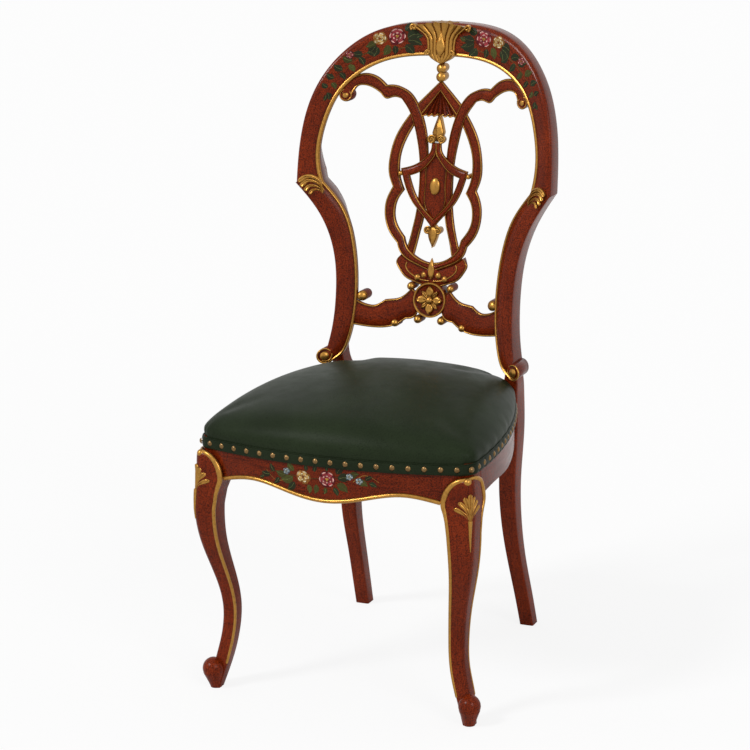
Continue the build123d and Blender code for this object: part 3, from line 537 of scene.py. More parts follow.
def lacquer_and_gold(name, finish, streak, layer, tone=1.0):
    """Rust-red lacquer antiqued with dark streaks and specks, and worn gold where gilt is 1."""
    r = Recipe(name)
    fibres = r.noise(1.0, 5.0, 0.65, r.stretched(streak, layer))
    clouds = r.noise(14.0, 3.0)
    specks = r.noise(640.0, 3.0, 0.62)
    red = [c * tone for c in finish.lacquer]
    dark = [c * 0.34 for c in red]
    bright = [min(1, red[0] * 1.55), red[1] * 1.7, red[2] * 1.6]
    base = r.mix(r.range(clouds, 0.3, 0.72), red, bright)
    base = r.mix(r.range(fibres, 0.5, 0.68, 0, 0.7), base, dark)
    base = r.mix(r.range(specks, 0.47, 0.56, 0, 0.82), base, [c * 0.16 for c in red])
    # painted shade: this attribute darkens hollows, side walls and backs in place of shadow, with a little
    # antique glaze in the hollows
    grime = r.attribute("grime")
    base = r.mix(r.math("MULTIPLY", grime, 0.75), base, [c * 0.25 for c in red])
    rubbed = r.noise(190.0, 4.0, 0.7)
    gold = r.mix(r.range(rubbed, 0.3, 0.6), [c * 0.72 for c in finish.gold], finish.gold)
    worn = r.range(r.noise(240.0, 3.0, 0.6), 0.64, 0.74, 0, 0.45)
    gold = r.mix(worn, gold, [c * 1.2 for c in red])
    # painted shade on the gold too: near black-brown in its hollows and on its sides, with a little glaze
    gold = r.mix(r.math("MULTIPLY", grime, 0.8), gold, (0.05, 0.02, 0.008))
    gilt = r.attribute("gilt")
    leafed = r.math("MULTIPLY", gilt, r.range(worn, 0, 0.55, 1, 0.35))
    rough = r.mix(gilt, r.range(fibres, 0.3, 0.75, 0.15, 0.3), r.range(rubbed, 0.3, 0.7, 0.24, 0.36))
    wood_only = r.range(gilt, 0, 1, 1, 0.08)
    pores = r.bump(r.math("MULTIPLY", specks, wood_only), 0.0002, 0.2)
    return r.set(Base_Color=r.mix(gilt, base, gold), Roughness=rough,
                 Metallic=r.math("MULTIPLY", leafed, 0.85), Specular_IOR_Level=0.1,
                 Normal=r.bump(r.math("MULTIPLY", fibres, wood_only), 0.0003, 0.2, pores))


def leather(name, colour, grain=520.0):
    """Hide with a pebble grain, painted shade in its creases and tucks, and a dull polish."""
    r = Recipe(name)
    pebble = r.node("ShaderNodeTexVoronoi", {"Vector": r.coords.outputs["Object"], "Scale": grain,
                                             "Randomness": 1.0}).outputs["Distance"]
    clouds = r.noise(9.0, 4.0)
    fine = r.noise(900.0, 2.0)
    base = r.mix(r.range(clouds, 0.3, 0.7), [c * 0.72 for c in colour], [c * 1.25 for c in colour])
    base = r.mix(r.range(pebble, 0.45, 0.85, 0, 0.45), base, [c * 0.45 for c in colour])
    # painted shade: darker where the attribute marks creases and tucks
    base = r.mix(r.math("MULTIPLY", r.attribute("grime"), 0.8), base, [c * 0.3 for c in colour])
    rough = r.range(r.noise(40.0, 4.0), 0.3, 0.7, 0.37, 0.44)
    return r.set(Base_Color=base, Roughness=rough, Specular_IOR_Level=0.05,
                 Normal=r.bump(pebble, 0.0004, 0.32, r.bump(fine, 0.0001, 0.3)))


def metal(name, colour, rough, tarnish):
    """Polished metal with tarnish in clouds and fine scratches."""
    r = Recipe(name)
    stain = r.noise(160.0, 4.0, 0.6)
    scratch = r.noise(1.0, 2.0, 0.6, r.stretched((900, 900, 120)))
    base = r.mix(r.range(stain, 0.45, 0.7, 0, 0.6), colour, tarnish)
    return r.set(Base_Color=base, Metallic=0.92, Roughness=r.range(stain, 0.3, 0.7, rough, rough + 0.18),
                 Normal=r.bump(scratch, 0.0001, 0.15))


def timber(name, pale, brown):
    """Plain wood: fibres drawn out along x over wider growth bands."""
    r = Recipe(name)
    fibres = r.noise(1.0, 5.0, 0.7, r.stretched((30, 420, 420)))
    bands = r.noise(1.0, 2.0, 0.5, r.stretched((5, 60, 60)))
    base = r.mix(r.range(fibres, 0.35, 0.7), pale, brown)
    base = r.mix(r.range(bands, 0.4, 0.7, 0, 0.4), base, [c * 0.7 for c in brown])
    return r.set(Base_Color=base, Roughness=r.range(fibres, 0.3, 0.7, 0.55, 0.75),
                 Normal=r.bump(fibres, 0.0004, 0.35))


def cloth(name, light, dark, pitch):
    """Plain weave: two sets of waves at right angles give the threads."""
    r = Recipe(name)
    threads = [r.node("ShaderNodeTexWave", {"Vector": r.coords.outputs["Object"], "Scale": pitch,
                                            "Distortion": 0.6, "Detail": 1.0},
                      bands_direction=axis).outputs["Fac"] for axis in ("X", "Y")]
    mesh_height = r.math("MULTIPLY", threads[0], threads[1])
    fuzz = r.noise(300.0, 4.0, 0.7)
    base = r.mix(mesh_height, dark, light)
    base = r.mix(r.range(fuzz, 0.4, 0.7, 0, 0.4), base, [c * 0.7 for c in dark])
    return r.set(Base_Color=base, Roughness=r.range(fuzz, 0.3, 0.7, 0.8, 0.95), Sheen_Weight=0.15,
                 Normal=r.bump(mesh_height, 0.0004, 0.5))


def paint_finish(name):
    """Brushed oil colour from the piece's own tint, thin enough for specks to show."""
    r = Recipe(name)
    brush = r.noise(1.0, 3.0, 0.6, r.stretched((500, 500, 900)))
    tint = r.attribute("tint", "Color")
    base = r.mix(r.range(brush, 0.38, 0.62, 0, 0.6), tint, (0.035, 0.01, 0.006))
    base = r.mix(r.range(r.noise(700.0, 2.0), 0.62, 0.72, 0, 0.5), base, (0.03, 0.012, 0.008))
    return r.set(Base_Color=base, Roughness=r.range(brush, 0.3, 0.7, 0.32, 0.5),
                 Specular_IOR_Level=0.1, Normal=r.bump(brush, 0.0002, 0.3))


finishes = {}


# ---------------------------------------------------------------- the back's outlines

LEG_LINE = spline(LEG, 240)
CREST_OUTER = spline([(231, 789), (227.6, 869), (203.5, 959.5), (129, 1036.5), (0, 1056.5)],
                     240, (0, 1), (-1, 0))
CREST_INNER = spline([(189, 789), (196.5, 838), (188.5, 892), (165, 945), (106.5, 988), (0, 1001.5)],
                     90, (0.3, 1), (-1, 0))
STILE_OUTER = spline([(231, 789), (194, 735.5), (169, 668.5), (162.6, 596), (167, 532), (172, 505)], 70)
STILE_INNER = spline([(189, 789), (154, 741), (134, 676), (127.5, 608), (137, 517), (147.5, 492.5),
                      (168, 476.8)], 80)


def crest_shells():
    """Right half of the arch: a section between its edges, thinner and less square toward the top."""
    section = edged(5.6, STILE_DEPTH, 15.0, 8, 0.2)
    outer = even(CREST_OUTER, 90)
    rear = np.interp(outer[:, 1], [789, 880, 990], [50, 48, 40])
    full = np.interp(outer[:, 1], [808, 830, 862, 900, 990, 1045], [.6, .42, .12, 0, 0, .3])
    return [moulding(outer, even(CREST_INNER, 90), section, STILE_DEPTH, rear=rear, full=full)]


def post_shells():
    """Right rear post: rounded rectangles from the foot into the stile, and the stile above.

    A rectangle's sides are sign(cos a) |cos a|^0.22 and the same of the sine, scaled to its size.
    A row is height, x, y, width and depth.
    """
    rows = spline([(0, 159, 227, 25, 26), (60, 156.7, 207, 25.5, 27), (120, 154, 185.5, 26, 28),
                   (200, 152, 161.5, 28, 32), (283, 150, 157, 30, 37), (378, 150, 169, 32, 44),
                   (432, 150, 168, 32, 44), (449, 153, 162.5, 30, 41), (466, 158.5, 153, 25, 37),
                   (492, 160.5, 147, 19, 34), (560, 153, back_y(153, 560) + 30, 10, 24)], 72)
    a = np.linspace(0, 2 * np.pi, 40, endpoint=False)
    square = np.stack([np.sign(np.cos(a)) * np.abs(np.cos(a)) ** 0.22,
                       np.sign(np.sin(a)) * np.abs(np.sin(a)) ** 0.22], -1)
    square /= np.abs(square).max(0)
    z, x, y, wide, deep = rows.T[..., None]
    leg = np.stack([x + wide / 2 * square[:, 0], y + deep / 2 * square[:, 1], z + 0 * x + 0 * a], -1)
    outer = even(STILE_OUTER, 80)
    stile = moulding(outer, even(STILE_INNER, 80), edged(4.6, STILE_DEPTH, 7.0, 6, 2.6), STILE_DEPTH,
                     full=np.interp(outer[:, 1], [680, 715, 748, 772], [0, .12, .42, .6]))
    return [weave(leg), stile, *volute_shells()]


def volute_shells():
    """Foot of the right stile: a drum, a gold wire that winds in on its face, and a domed eye."""
    drum = [(.05, -50), (12, -50), (13.4, -48), (13.4, -2.5), (12.9, -1), (11.6, -.3), (8, .3), (.05, .6)]
    barrel = turned(VOLUTE, drum, on_back(0), grime=[.5, .5, .4, .1, .2, .4, .2, 0])
    turn = np.linspace(-105, 300, 80)
    reach = np.interp(turn, [-105, 0, 90, 180, 300], [12.4, 12.2, 11.7, 10.8, 8.8])
    angle = np.radians(turn)
    curl = on_back(0)(VOLUTE[0] + reach * np.cos(angle), VOLUTE[1] + reach * np.sin(angle), 0.8 + 0 * turn)
    spiral = rod(curl, np.linspace(1.8, 1.1, 80), gilt=1.0)
    eye = turned(VOLUTE, [(.05, -3), (7.2, -3), (7.5, .6), (6.7, 2.9), (4.0, 4.2), (.05, 4.7)],
                 on_back(0), gilt=1.0, grime=[.6, .6, .7, .1, 0, 0])
    return [barrel, spiral, eye]


def strap_shells():
    """Right strap: it rises behind the shield, crosses over the loop and ends in a scroll."""
    rise_out = spline([(50, 668), (45.5, 683), (37.5, 715), (32.5, 745), (30.5, 785), (32.5, 830),
                       (39, 865), (53, 907), (68, 928)], 70)
    rise_in = spline([(35, 665), (26, 703), (20.5, 726), (17, 770), (17, 825), (21.5, 869), (34, 909),
                      (56, 940), (75, 949)], 70)
    elbow = spline([(68, 928), (82, 931), (94, 928), (104, 937)], 16)
    over = spline([(75, 949), (85, 950.5), (95, 950)], 16)
    arm = spline([(104, 937), (126, 949.5), (143, 949), (151, 935)], 26)
    tip = chain(spline([(95, 950), (112, 964.5), (137, 969.5), (163, 955)], 20),
                np.array([(163, 955), (170, 940)]))
    left = chain(even(rise_out, 70), even(elbow, 16), even(arm, 26))
    right = chain(even(rise_in, 70), even(over, 16), even(tip, 26))
    height = (left[:, 1] + right[:, 1]) / 2
    front = 3.0 * np.clip((712 - height) / 25, 0, 1) - 2.6 * np.exp(-((height - 912) / 30) ** 2)
    strap = moulding(left, right, bar(), FRET_DEPTH, SPLAT_FRONT, front)
    place = on_back(SPLAT_FRONT)
    barrel = turned((160, 934), [(.05, -16), (9.5, -16), (11, -14), (11, -1), (10, .4), (.05, .6)],
                    place, grime=[.5, .5, .4, .2, .3, 0])
    curl = scroll((160, 934), (70, -330), (10.6, 6.2), .6, (1.0, 1.0), place, 70)
    button = turned((160.5, 934), [(.05, -2), (5, -2), (5.2, .5), (4.4, 2.4), (2.2, 3.4), (.05, 3.6)],
                    place, gilt=1.0, grime=[.6, .6, .6, .1, 0, 0])
    return [strap, barrel, curl, button]


def loop_shells():
    """The ogee loop, from one horn down round its foot and up to the other.

    It stands forward a little at its foot and back a little at its horns.
    """
    outer = chain(even(spline([(0, 640), (21, 646), (44, 656), (59, 670), (64, 684)], 40, (1, 0)), 26),
                  even(spline([(64, 684), (79, 703), (88, 733), (86, 758), (76.5, 779)], 40), 34),
                  even(spline([(76.5, 779), (84, 800), (84, 830), (75, 865), (50, 906)], 50), 44))
    inner = chain(even(spline([(0, 652), (31.5, 662.5), (47.5, 679), (52.5, 694)], 40, (1, 0)), 26),
                  even(spline([(52.5, 694), (62, 706.5), (69, 720), (71.5, 740), (67.5, 758),
                               (57, 774)], 40), 34),
                  even(spline([(57, 774), (64.5, 793), (67.5, 816), (65.5, 837), (57, 862),
                               (38, 896)], 50), 44))
    height = outer[:, 1]
    front = -1.2 * np.clip((720 - height) / 40, 0, 1) + 1.0 * np.clip((height - 860) / 40, 0, 1)
    front = np.concatenate([front[:0:-1], front])
    return [moulding(whole(outer), whole(inner), bar(), FRET_DEPTH, SPLAT_FRONT, front)]


def pediment_shells():
    """Roof bars meeting in a point over a cloth carved in folds with a scalloped gold hem.

    The folds are cos(7 pi v) u^0.7 high, v across and u down. The hem rises by |cos(3.5 pi v)|.
    """
    outer = even([(50, 906), (46, 914), (0, 960)], 26)
    inner = even([(38, 896), (31, 904), (0, 943)], 26)
    roof = both([moulding(outer, inner, bar(crown=1.6), FRET_DEPTH, SPLAT_FRONT)])
    u = np.linspace(0, 1, 30)[:, None]
    v = np.linspace(-1, 1, 61)[None]
    hem = 903 - 3.2 * np.abs(np.cos(v * 3.5 * np.pi))
    top = 946 - 2 * u
    q = top + (hem - top) * u
    p = v * (2 + 33 * u)
    fold = 2.4 * np.cos(v * 7 * np.pi) * u**0.7
    height = fold + 1.6 * u
    place = on_back(SPLAT_FRONT + 6)
    # painted shade in the folds' troughs, less on their ridges
    folds = plate(place, p, q, height, -9.0, 0.5 - fold / 4)
    return roof + [folds, rod(place(p[-1], q[-1], height[-1] + 0.6), 1.3, gilt=1.0)]


def shield_shells():
    """Shield frame over a tall panel with a gold line down each side, and two small knobs."""
    outer = chain(even(spline([(8, 856), (9.5, 843), (22, 828), (40, 817), (61, 811)], 40), 30),
                  even(spline([(61, 811), (54, 787), (38, 755), (20, 735), (0, 712)], 40), 40))
    inner = chain(even(spline([(0, 856), (.2, 840), (10, 824), (28, 807), (46, 800)], 40), 30),
                  even(spline([(46, 800), (38, 777), (24, 752), (0, 728)], 40), 40))
    rim = moulding(outer, inner, bar(12.0, 2.0, 1.6), 12.0, -3.0)
    half = spline([(.5, 722), (12, 738), (18.5, 752), (18.5, 785), (18.5, 815), (12, 832), (.5, 845)], 60)
    panel = moulding(mirrored(half), half, bar(18.0, 1.4, 1.3), 18.0, 2.0)
    knob = turned((8.8, 862), [(.05, -8), (6, -8), (6.6, -4), (6.4, 2), (4, 3), (.05, 3.4)],
                  on_back(0), gilt=1.0, grime=[.5, .5, .4, .3, .8, .3])
    curl = scroll((8.8, 862), (150, -420), (7.4, 1.6), 3.2, (1.9, 1.2), on_back(0), 60)
    return both([rim, knob, curl]) + [panel]


def gilded_ball(centre, r, heights, shares, place, sides):
    """A turned ball: wood up to its rim, and gold above, narrowing by the shares of r to its top."""
    back, rim, low, high, top = heights
    profile = [(.05, back), (r, back), (r, rim), (r * shares[0], low), (r * shares[1], high), (.05, top)]
    return turned(centre, profile, place, sides, gilt=[0, 0, 0, .9, 1, 1],
                  grime=[.4, .4, .3, .2, 0, 0])


def wing_shells():
    """Wings under the splat: a rim that rises to a tip each side, and curls under the bud."""
    rim = spline([(0, 612), (18, 614), (32, 618.5), (47, 625), (60, 640), (65, 652), (57, 664)], 70)
    lip = spline([(0, 641), (16, 645), (30, 650), (44, 657), (57, 664)], 70)
    line = spline([(4, 622), (20, 623.7), (35, 631), (44, 638.5), (47, 646), (45, 652)], 40)
    place = on_back(SPLAT_FRONT)
    shells = [moulding(even(rim, 70), even(lip, 70), bar(FRET_DEPTH - 2, 2.2), FRET_DEPTH - 2,
                       SPLAT_FRONT + 2),
              rod(place(line[:, 0], line[:, 1], -.4 + 0 * line[:, 0]), 1.1, gilt=1.0)]
    for x, z, r in ((12.5, 632, 6.5), (25, 627, 6.0)):
        shells.append(gilded_ball((x, z), r, (-20, -2, 1.5, 3, 3.2), (.8, .35), place, 24))
    shells.append(lobe(spline([(10, 624), (9, 636), (1, 645)], 16), leaf_width(5, 16), 2.5, place,
                       sink=18.0))
    return both(shells)


def cross_rail_shells():
    """Cross rail: shaped halves into the stiles, a roundel over the middle, and turned balls."""
    upper = chain(even(spline([(150, 590), (130, 585.5), (121, 580.5), (110, 576.5), (100, 575.5),
                               (92.5, 578), (81, 585.5)], 40), 36),
                  even(spline([(81, 585.5), (73, 586.5), (58, 589), (46, 596), (35, 607.5)], 40), 30),
                  even([(35, 607.5), (25, 599)], 8))
    lower = chain(even(spline([(150, 547), (99, 538.5), (60, 544), (43, 555)], 40), 50),
                  even(spline([(43, 555), (34, 556), (27, 560), (22, 572)], 30), 23))
    place = on_back(SPLAT_FRONT)
    shells = [moulding(upper, lower, bar(CROSS_RAIL_DEPTH, 3.0, 2.4), CROSS_RAIL_DEPTH, SPLAT_FRONT)]
    for x, z, r in ((120, 592, 9), (62, 547, 7), (21.5, 555, 7.2), (36.5, 611, 7)):
        shells.append(gilded_ball((x, z), r, (-22, -3, 0, 2.6, 3.8), (.9, .55), place, 28))
    ring = [(.05, -24), (29, -24), (30, -22), (30.3, 1.6), (30, 2.8), (29, 4), (27.6, 3.9), (26.6, 2.8),
            (26, 1.4), (24.6, .6), (.05, .4)]
    gold = [0, 0, 0, 0, 1, 1, 1, 1, 0, 0, 0]
    roundel = turned((0, 590), ring, place, 64, gilt=gold, grime=[.5, .5, .4, .1, 0, 0, 0, .3, 1, .5, .3])
    return both(shells) + [roundel]


# ---------------------------------------------------------------- carving

def cartouche_shells():
    """Fluted fan over the crest's middle: v times a width that follows the height.

    The flutes are |sin(3.5 pi v)|^0.7 high, and their tips curl forward by the square of the rise.
    """
    s = np.linspace(0, 1, 54)[:, None]
    v = np.linspace(-1, 1, 85)[None]
    top = 1060 - 8 * np.abs(v) ** 1.6 - 1.6 * np.abs(np.cos(v * 3.5 * np.pi))
    z = 989 + s * (top - 989)
    wide = np.interp(z, [989, 992, 997, 1005, 1018, 1030, 1038, 1046, 1053, 1060],
                     [1, 9, 17.5, 25, 24.5, 26, 31, 42, 52, 54])
    x = v * wide
    flute = np.abs(np.sin(v * 3.5 * np.pi)) ** 0.7
    reach = np.sin(np.pi * np.clip(s, 0.02, 1) * 0.5) ** 0.5
    curl = 7 * np.clip((s - 0.62) / 0.38, 0, 1) ** 2
    edge = 3.5 * (1 - np.abs(v) ** 6)
    height = edge + (3.6 * flute * (0.55 + 0.6 * s)) * reach + curl
    place = on_back(0)
    # painted shade in the flutes' hollows, none on their ridges
    body = plate(place, x, z, height, -14.0, 0.7 - 1.3 * flute, gilt=1.0)
    tongue = lobe(spline([(0, 1047), (0, 1022), (0, 1000)], 24), leaf_width(9, 24, 1.5), 5.0, place,
                  lift=5.0, sink=0.0, gilt=1.0)
    shells = [body, tongue]
    for centre, r in (((49, 1050), 5.5), ((22, 1008), 4.6)):
        shells += both([scroll(centre, (-60, 420), (r, 1.2), 8, (1.9, 1.2), place),
                        turned(centre, [(.05, 0), (r, 0), (r, 5), (.05, 7)], place, 24, gilt=1.0,
                               grime=[.5, .6, .6, .3])])
    return shells


def shoulder_leaf_shells():
    """Acanthus on the right shoulder: a leaf that arches out from the gold bead over three lobes."""
    place = on_back(-0.2)
    shells = []
    for points, wide, layer in (([(187, 769), (196, 776), (203, 775), (206, 768)], 4.8, 0),
                                ([(186, 772), (198, 782), (209, 782), (213, 774)], 5.6, .8),
                                ([(186, 775), (198, 789), (213, 791), (219, 782)], 6.2, 1.6),
                                ([(188, 772), (196, 794), (212, 799), (223, 790)], 6.4, 2.4)):
        lift = 1 + layer + 2.2 * np.linspace(0, 1, 34) ** 3
        shells.append(lobe(spline(points, 34), spoon_width(wide, 34), 3.4, place, lift, 2.0, 1.6, gilt=1.0,
                           grime=0.1 if layer < 1 else 0.0))
    return shells


def rosette_shells():
    """Four broad petals over four narrow ones round a domed eye."""
    place = on_back(SPLAT_FRONT - 0.6)
    shells = []
    for turn in range(8):
        a = np.pi / 4 * turn
        broad = turn % 2 == 0
        r = np.linspace(3, 24 if broad else 21, 22)
        path = np.stack([r * np.cos(a), 590 + r * np.sin(a)], -1)
        lift = (1.6 if broad else 0.2) + 2.4 * np.linspace(0, 1, 22) ** 3
        shells.append(lobe(path, leaf_width(7.2 if broad else 4.2, 22, 1.1), 3.2, place, lift, 1.0,
                           1.3, gilt=1.0, grime=0.05 if broad else 0.3))
    shells.append(turned((0, 590), [(.05, -2), (6, -2), (6.5, 3.4), (5, 6), (2.6, 7.2), (.05, 7.5)],
                         place, 28, gilt=1.0, grime=[.6, .6, .7, .1, 0, 0]))
    return shells


def splat_ornaments():
    """Name: shells of each small gilded carving on the splat."""
    place = on_back(0)
    bud = [lobe(spline([(0, 624), (0, 642), (0, 661)], 24), leaf_width(6.6, 24, 0.85), 4.6, on_back(3.5),
                sink=3.0, groove=1.0, gilt=1.0)]
    boss = [turned((0, 783), [(.05, -3), (9.4, -3), (9.8, -.6), (9, 1.2), (6.6, 2.7), (3.2, 3.5),
                              (.05, 3.7)], place, 40, gilt=1.0, grime=[.6, .7, .5, .1, 0, 0, 0],
                   tall=1.48)]
    pins = both([turned((62, 803), [(.05, -16), (4, -16), (4.2, 2), (3.4, 4), (1.8, 5), (.05, 5.2)],
                        on_back(2), 20, gilt=1.0, grime=[.5, .5, .3, 0, 0, 0])])
    pendant = [lobe(spline([(0, 718), (0, 698), (0, 679)], 24), leaf_width(9, 24, .7), 5.4, on_back(2.5),
                    sink=12.0, groove=-1.8, gilt=1.0)]
    pendant += both([turned((9.2, 708), [(.05, -12), (6, -12), (6.6, 0), (5.4, 1.4), (.05, 1.6)],
                            on_back(2.5), 24, gilt=1.0, grime=[.5, .5, .4, .5, .6]),
                     scroll((9.2, 708), (110, -380), (6.6, 1.4), 2.4, (1.7, 1.1), on_back(2.5))])
    finial = [lobe(spline([(0, 858), (0, 880), (0, 906)], 30),
                   np.interp(np.linspace(0, 1, 30), [0, .12, .3, .55, .8, 1], [4, 8, 11, 7.5, 3.2, .1]),
                   4.4, on_back(4.5), sink=12.0, groove=-2.2, gilt=1.0)]
    beads = [turned((0, z), [(.05, -20), (7.5, -20), (8.8, -10), (8.4, 0), (5.4, 2.8), (.05, 4.4)],
                    on_back(3), 28, gilt=1.0, grime=[.5, .5, .4, .2, 0, 0]) for z in (966.2, 980.7)]
    return {"bud": bud, "boss": boss, "pins": pins, "pendant": pendant, "finial": finial, "beads": beads}


def knee_shell_shells():
    """Palmette on the right knee: spoon lobes fanned over a thin stem, bent round the leg's corner.

    Across the corner, at distance a from it, the surface falls as R - sqrt(a^2 + R^2).
    """
    across = np.array([1, 1, 0]) / np.sqrt(2)
    outward_way = np.array([1, -1, 0]) / np.sqrt(2)

    def place(p, q, h):
        _, outer, fore, _, radius = leg_sides(q)
        trim = radius * (1 - np.sqrt(0.5))
        centre = np.stack([outer - trim, fore + trim, q], -1)
        fall = KNEE_BEND - np.sqrt(p**2 + KNEE_BEND**2)
        return centre + p[..., None] * across + (h + fall)[..., None] * outward_way

    shells = []
    foot = 341
    for x, z, wide, layer in ((22, 368, 5.4, 0), (16, 379, 5.8, .4), (8.5, 387, 5.8, .8),
                              (0, 392, 6.2, 1.2), (-8.5, 387, 5.8, .8), (-16, 379, 5.8, .4),
                              (-22, 368, 5.4, 0)):
        path = spline([(x * .04, foot), (x * .3, foot + (z - foot) * .62), (x, z)], 26)
        lift = layer - 1.4 + 1.2 * np.linspace(0, 1, 26) ** 3
        shells.append(lobe(path, spoon_width(wide, 26), 3.2, place, lift, 8.0, 1.8, gilt=1.0, grime=0.03))
    shells.append(lobe(spline([(0, 350), (0, 330), (0, 300)], 40), np.linspace(3.8, .8, 40), 3.0, place,
                       sink=5.0, gilt=1.0))
    return shells


# knee: height, inner and outer side, front and back face
KNEE = np.array([(320, 203, 244, -270, -229), (345, 199.5, 244, -268, -224),
                 (360, 195.5, 243.6, -266, -217), (370, 192, 243, -264.5, -210),
                 (384, 194, 242.5, -263.2, -211), (394, 198.5, 242, -262.4, -214),
                 (402, 204.7, 241.4, -261.4, -217), (407.4, 210.8, 240.8, -260.4, -223),
                 (410, 216.9, 240, -259.2, -229), (411.4, 222, 239, -258, -234)])
KNEE_FOOT, KNEE_BEND = 320, 10.5
# toe: where it stands, its radius at the floor and above, the cone's height, the dome's middle and rise
TOE_X, TOE_Y = 226, -239
TOE_FOOT, TOE_RADIUS, TOE_CONE, TOE_DOME, TOE_RISE = 9.5, 18.2, 26, 33.8, 18.6


def leg_sides(z):
    """Inner and outer side, front and back face, and front corner radius of the leg at z."""
    height, x, y, half = LEG_LINE.T
    low = [np.interp(z, height, c) for c in (x - half, x + half, y - half, y + half)]
    high = [np.interp(z, KNEE[:, 0], KNEE[:, c]) for c in (1, 2, 3, 4)]
    sides = [np.where(z > KNEE_FOOT, b, a) for a, b in zip(low, high)]
    round_corner = np.interp(z, [0, 60, 200, 300, 380, 412], [5, 6, 8, 13, 18, 12])
    return *sides, round_corner


def leg_corner(z, which):
    """Points down one arris: `front` is the inner front one and `back` the outer back one."""
    inner, outer, fore, aft, _ = leg_sides(z)
    inside = 1.4
    if which == "front":
        return np.stack([inner + inside, fore + inside, z], -1)
    return np.stack([outer - inside, aft - inside, z], -1)


def leg_shells():
    """Right front leg, its square block, and its toe.

    At each height four sides are joined by quarter circles of their own radii. The block is the
    seat's corner drawn straight up. The toe is turned: a cone, and a dome on it.
    """
    z = np.concatenate([np.linspace(0, KNEE_FOOT, 60), np.linspace(324, 411.4, 34)])
    inner, outer, fore, aft, big = leg_sides(z)
    small = np.interp(z, [0, KNEE_FOOT, 400, 412], [2, 3, 3, 5])
    quarter = np.linspace(0, np.pi / 2, 9)
    loops = []
    for turn, x, y, radius, sx, sy in ((-np.pi / 2, outer, fore, big, -1, 1),
                                       (0, outer, aft, small, -1, -1),
                                       (np.pi / 2, inner, aft, small, 1, -1),
                                       (np.pi, inner, fore, small, 1, 1)):
        a = quarter[None] + turn
        r = radius[:, None]
        loops.append(np.stack([x[:, None] + sx * r + r * np.cos(a), y[:, None] + sy * r + r * np.sin(a),
                               z[:, None] + 0 * a], -1))
    # the whole leg is darkened evenly by 0.22
    leg = weave(np.concatenate(loops, 1), grime=0.22)
    x = np.linspace(191, 224, 16)
    corner = spline([(224, front_y(224) + .2), (232, -240), (234.6, -228)], 12, (1, .25), (.2, 1))
    faces = np.concatenate([np.stack([x, front_y(x) + .2], -1), corner,
                            np.array([(235, -205), (191, -205)])])
    block = np.stack([np.concatenate([faces, np.full((len(faces), 1), h)], 1) for h in (384, 410, 436)])
    u = np.linspace(0, 1, 26)
    dome = np.linspace(-0.35, np.pi / 2, 22)
    radius = np.concatenate([TOE_FOOT + 7.6 * u**1.2, TOE_RADIUS * np.cos(dome)])
    height = np.concatenate([TOE_CONE * u, TOE_DOME + TOE_RISE * np.sin(dome)])
    mid = np.interp(height, [0, 25], [0, 1])
    a = np.linspace(0, 2 * np.pi, 36, endpoint=False)
    radius = np.maximum(radius, .05)[:, None]
    toe = np.stack([TOE_X + 2.1 * mid[:, None] + radius * np.cos(a),
                    TOE_Y - 4 * mid[:, None] + radius * np.sin(a), height[:, None] + 0 * a], -1)
    return [leg, weave(block), weave(toe)]


def gilt_bead_shells():
    """Gold: a serpentine bead under the front rail, rolls over the knees, a bead down each arris."""
    x = np.linspace(0, 188, 90)
    z = np.interp(x, np.linspace(0, 191, 60), spline([(0, 361), (60, 369), (130, 381), (191, 370)],
                                                    60, (1, 0))[:, 1]) + 1.4
    rail = rod(np.stack([x, front_y(x) - .6, z], -1), 3.5, gilt=1.0)
    down = np.linspace(362, 44, 130)
    front = rod(leg_corner(down, "front"), np.linspace(3.3, 2.3, 130), toward=(-.7, -1, 0), gilt=1.0)
    rear = rod(leg_corner(down, "back"), np.linspace(2.8, 2.0, 130), toward=(1, .7, 0), gilt=1.0)
    over = np.concatenate([np.linspace(352, 408, 40), np.linspace(408.5, 411.4, 6)])
    rolls = []
    for which, toward in (("front", (-.3, -1, .2)), ("back", (1, .3, .2))):
        path = leg_corner(over, which)
        path = spline(np.concatenate([path[:-1:5], [path[-1], (232, -252, 412.5)]]), 70)
        rolls.append(rod(path, np.interp(np.linspace(0, 1, 70), [0, .4, 1], [2.8, 4.2, 2.6]), 12, toward,
                         flat=1.25, gilt=1.0))
    a = np.linspace(0.001, np.pi, 14)[:, None]
    b = np.linspace(0, 2 * np.pi, 24, endpoint=False)[None]
    r = 6.6
    ball = np.stack([231.5 + r * np.sin(a) * np.cos(b), -254 + r * np.sin(a) * np.sin(b),
                     409 + r * np.cos(a) + 0 * b], -1)
    tail = np.radians(np.linspace(200, -120, 40))
    reach = np.linspace(8, 4, 40)
    curl = np.stack([216 + reach * np.cos(tail), -232 - reach * np.cos(tail),
                     44 + reach * np.sin(tail)], -1)
    return both([rail, front, rear, *rolls, weave(ball, gilt=1.0), rod(curl, 1.5, gilt=1.0)])


# ---------------------------------------------------------------- the seat

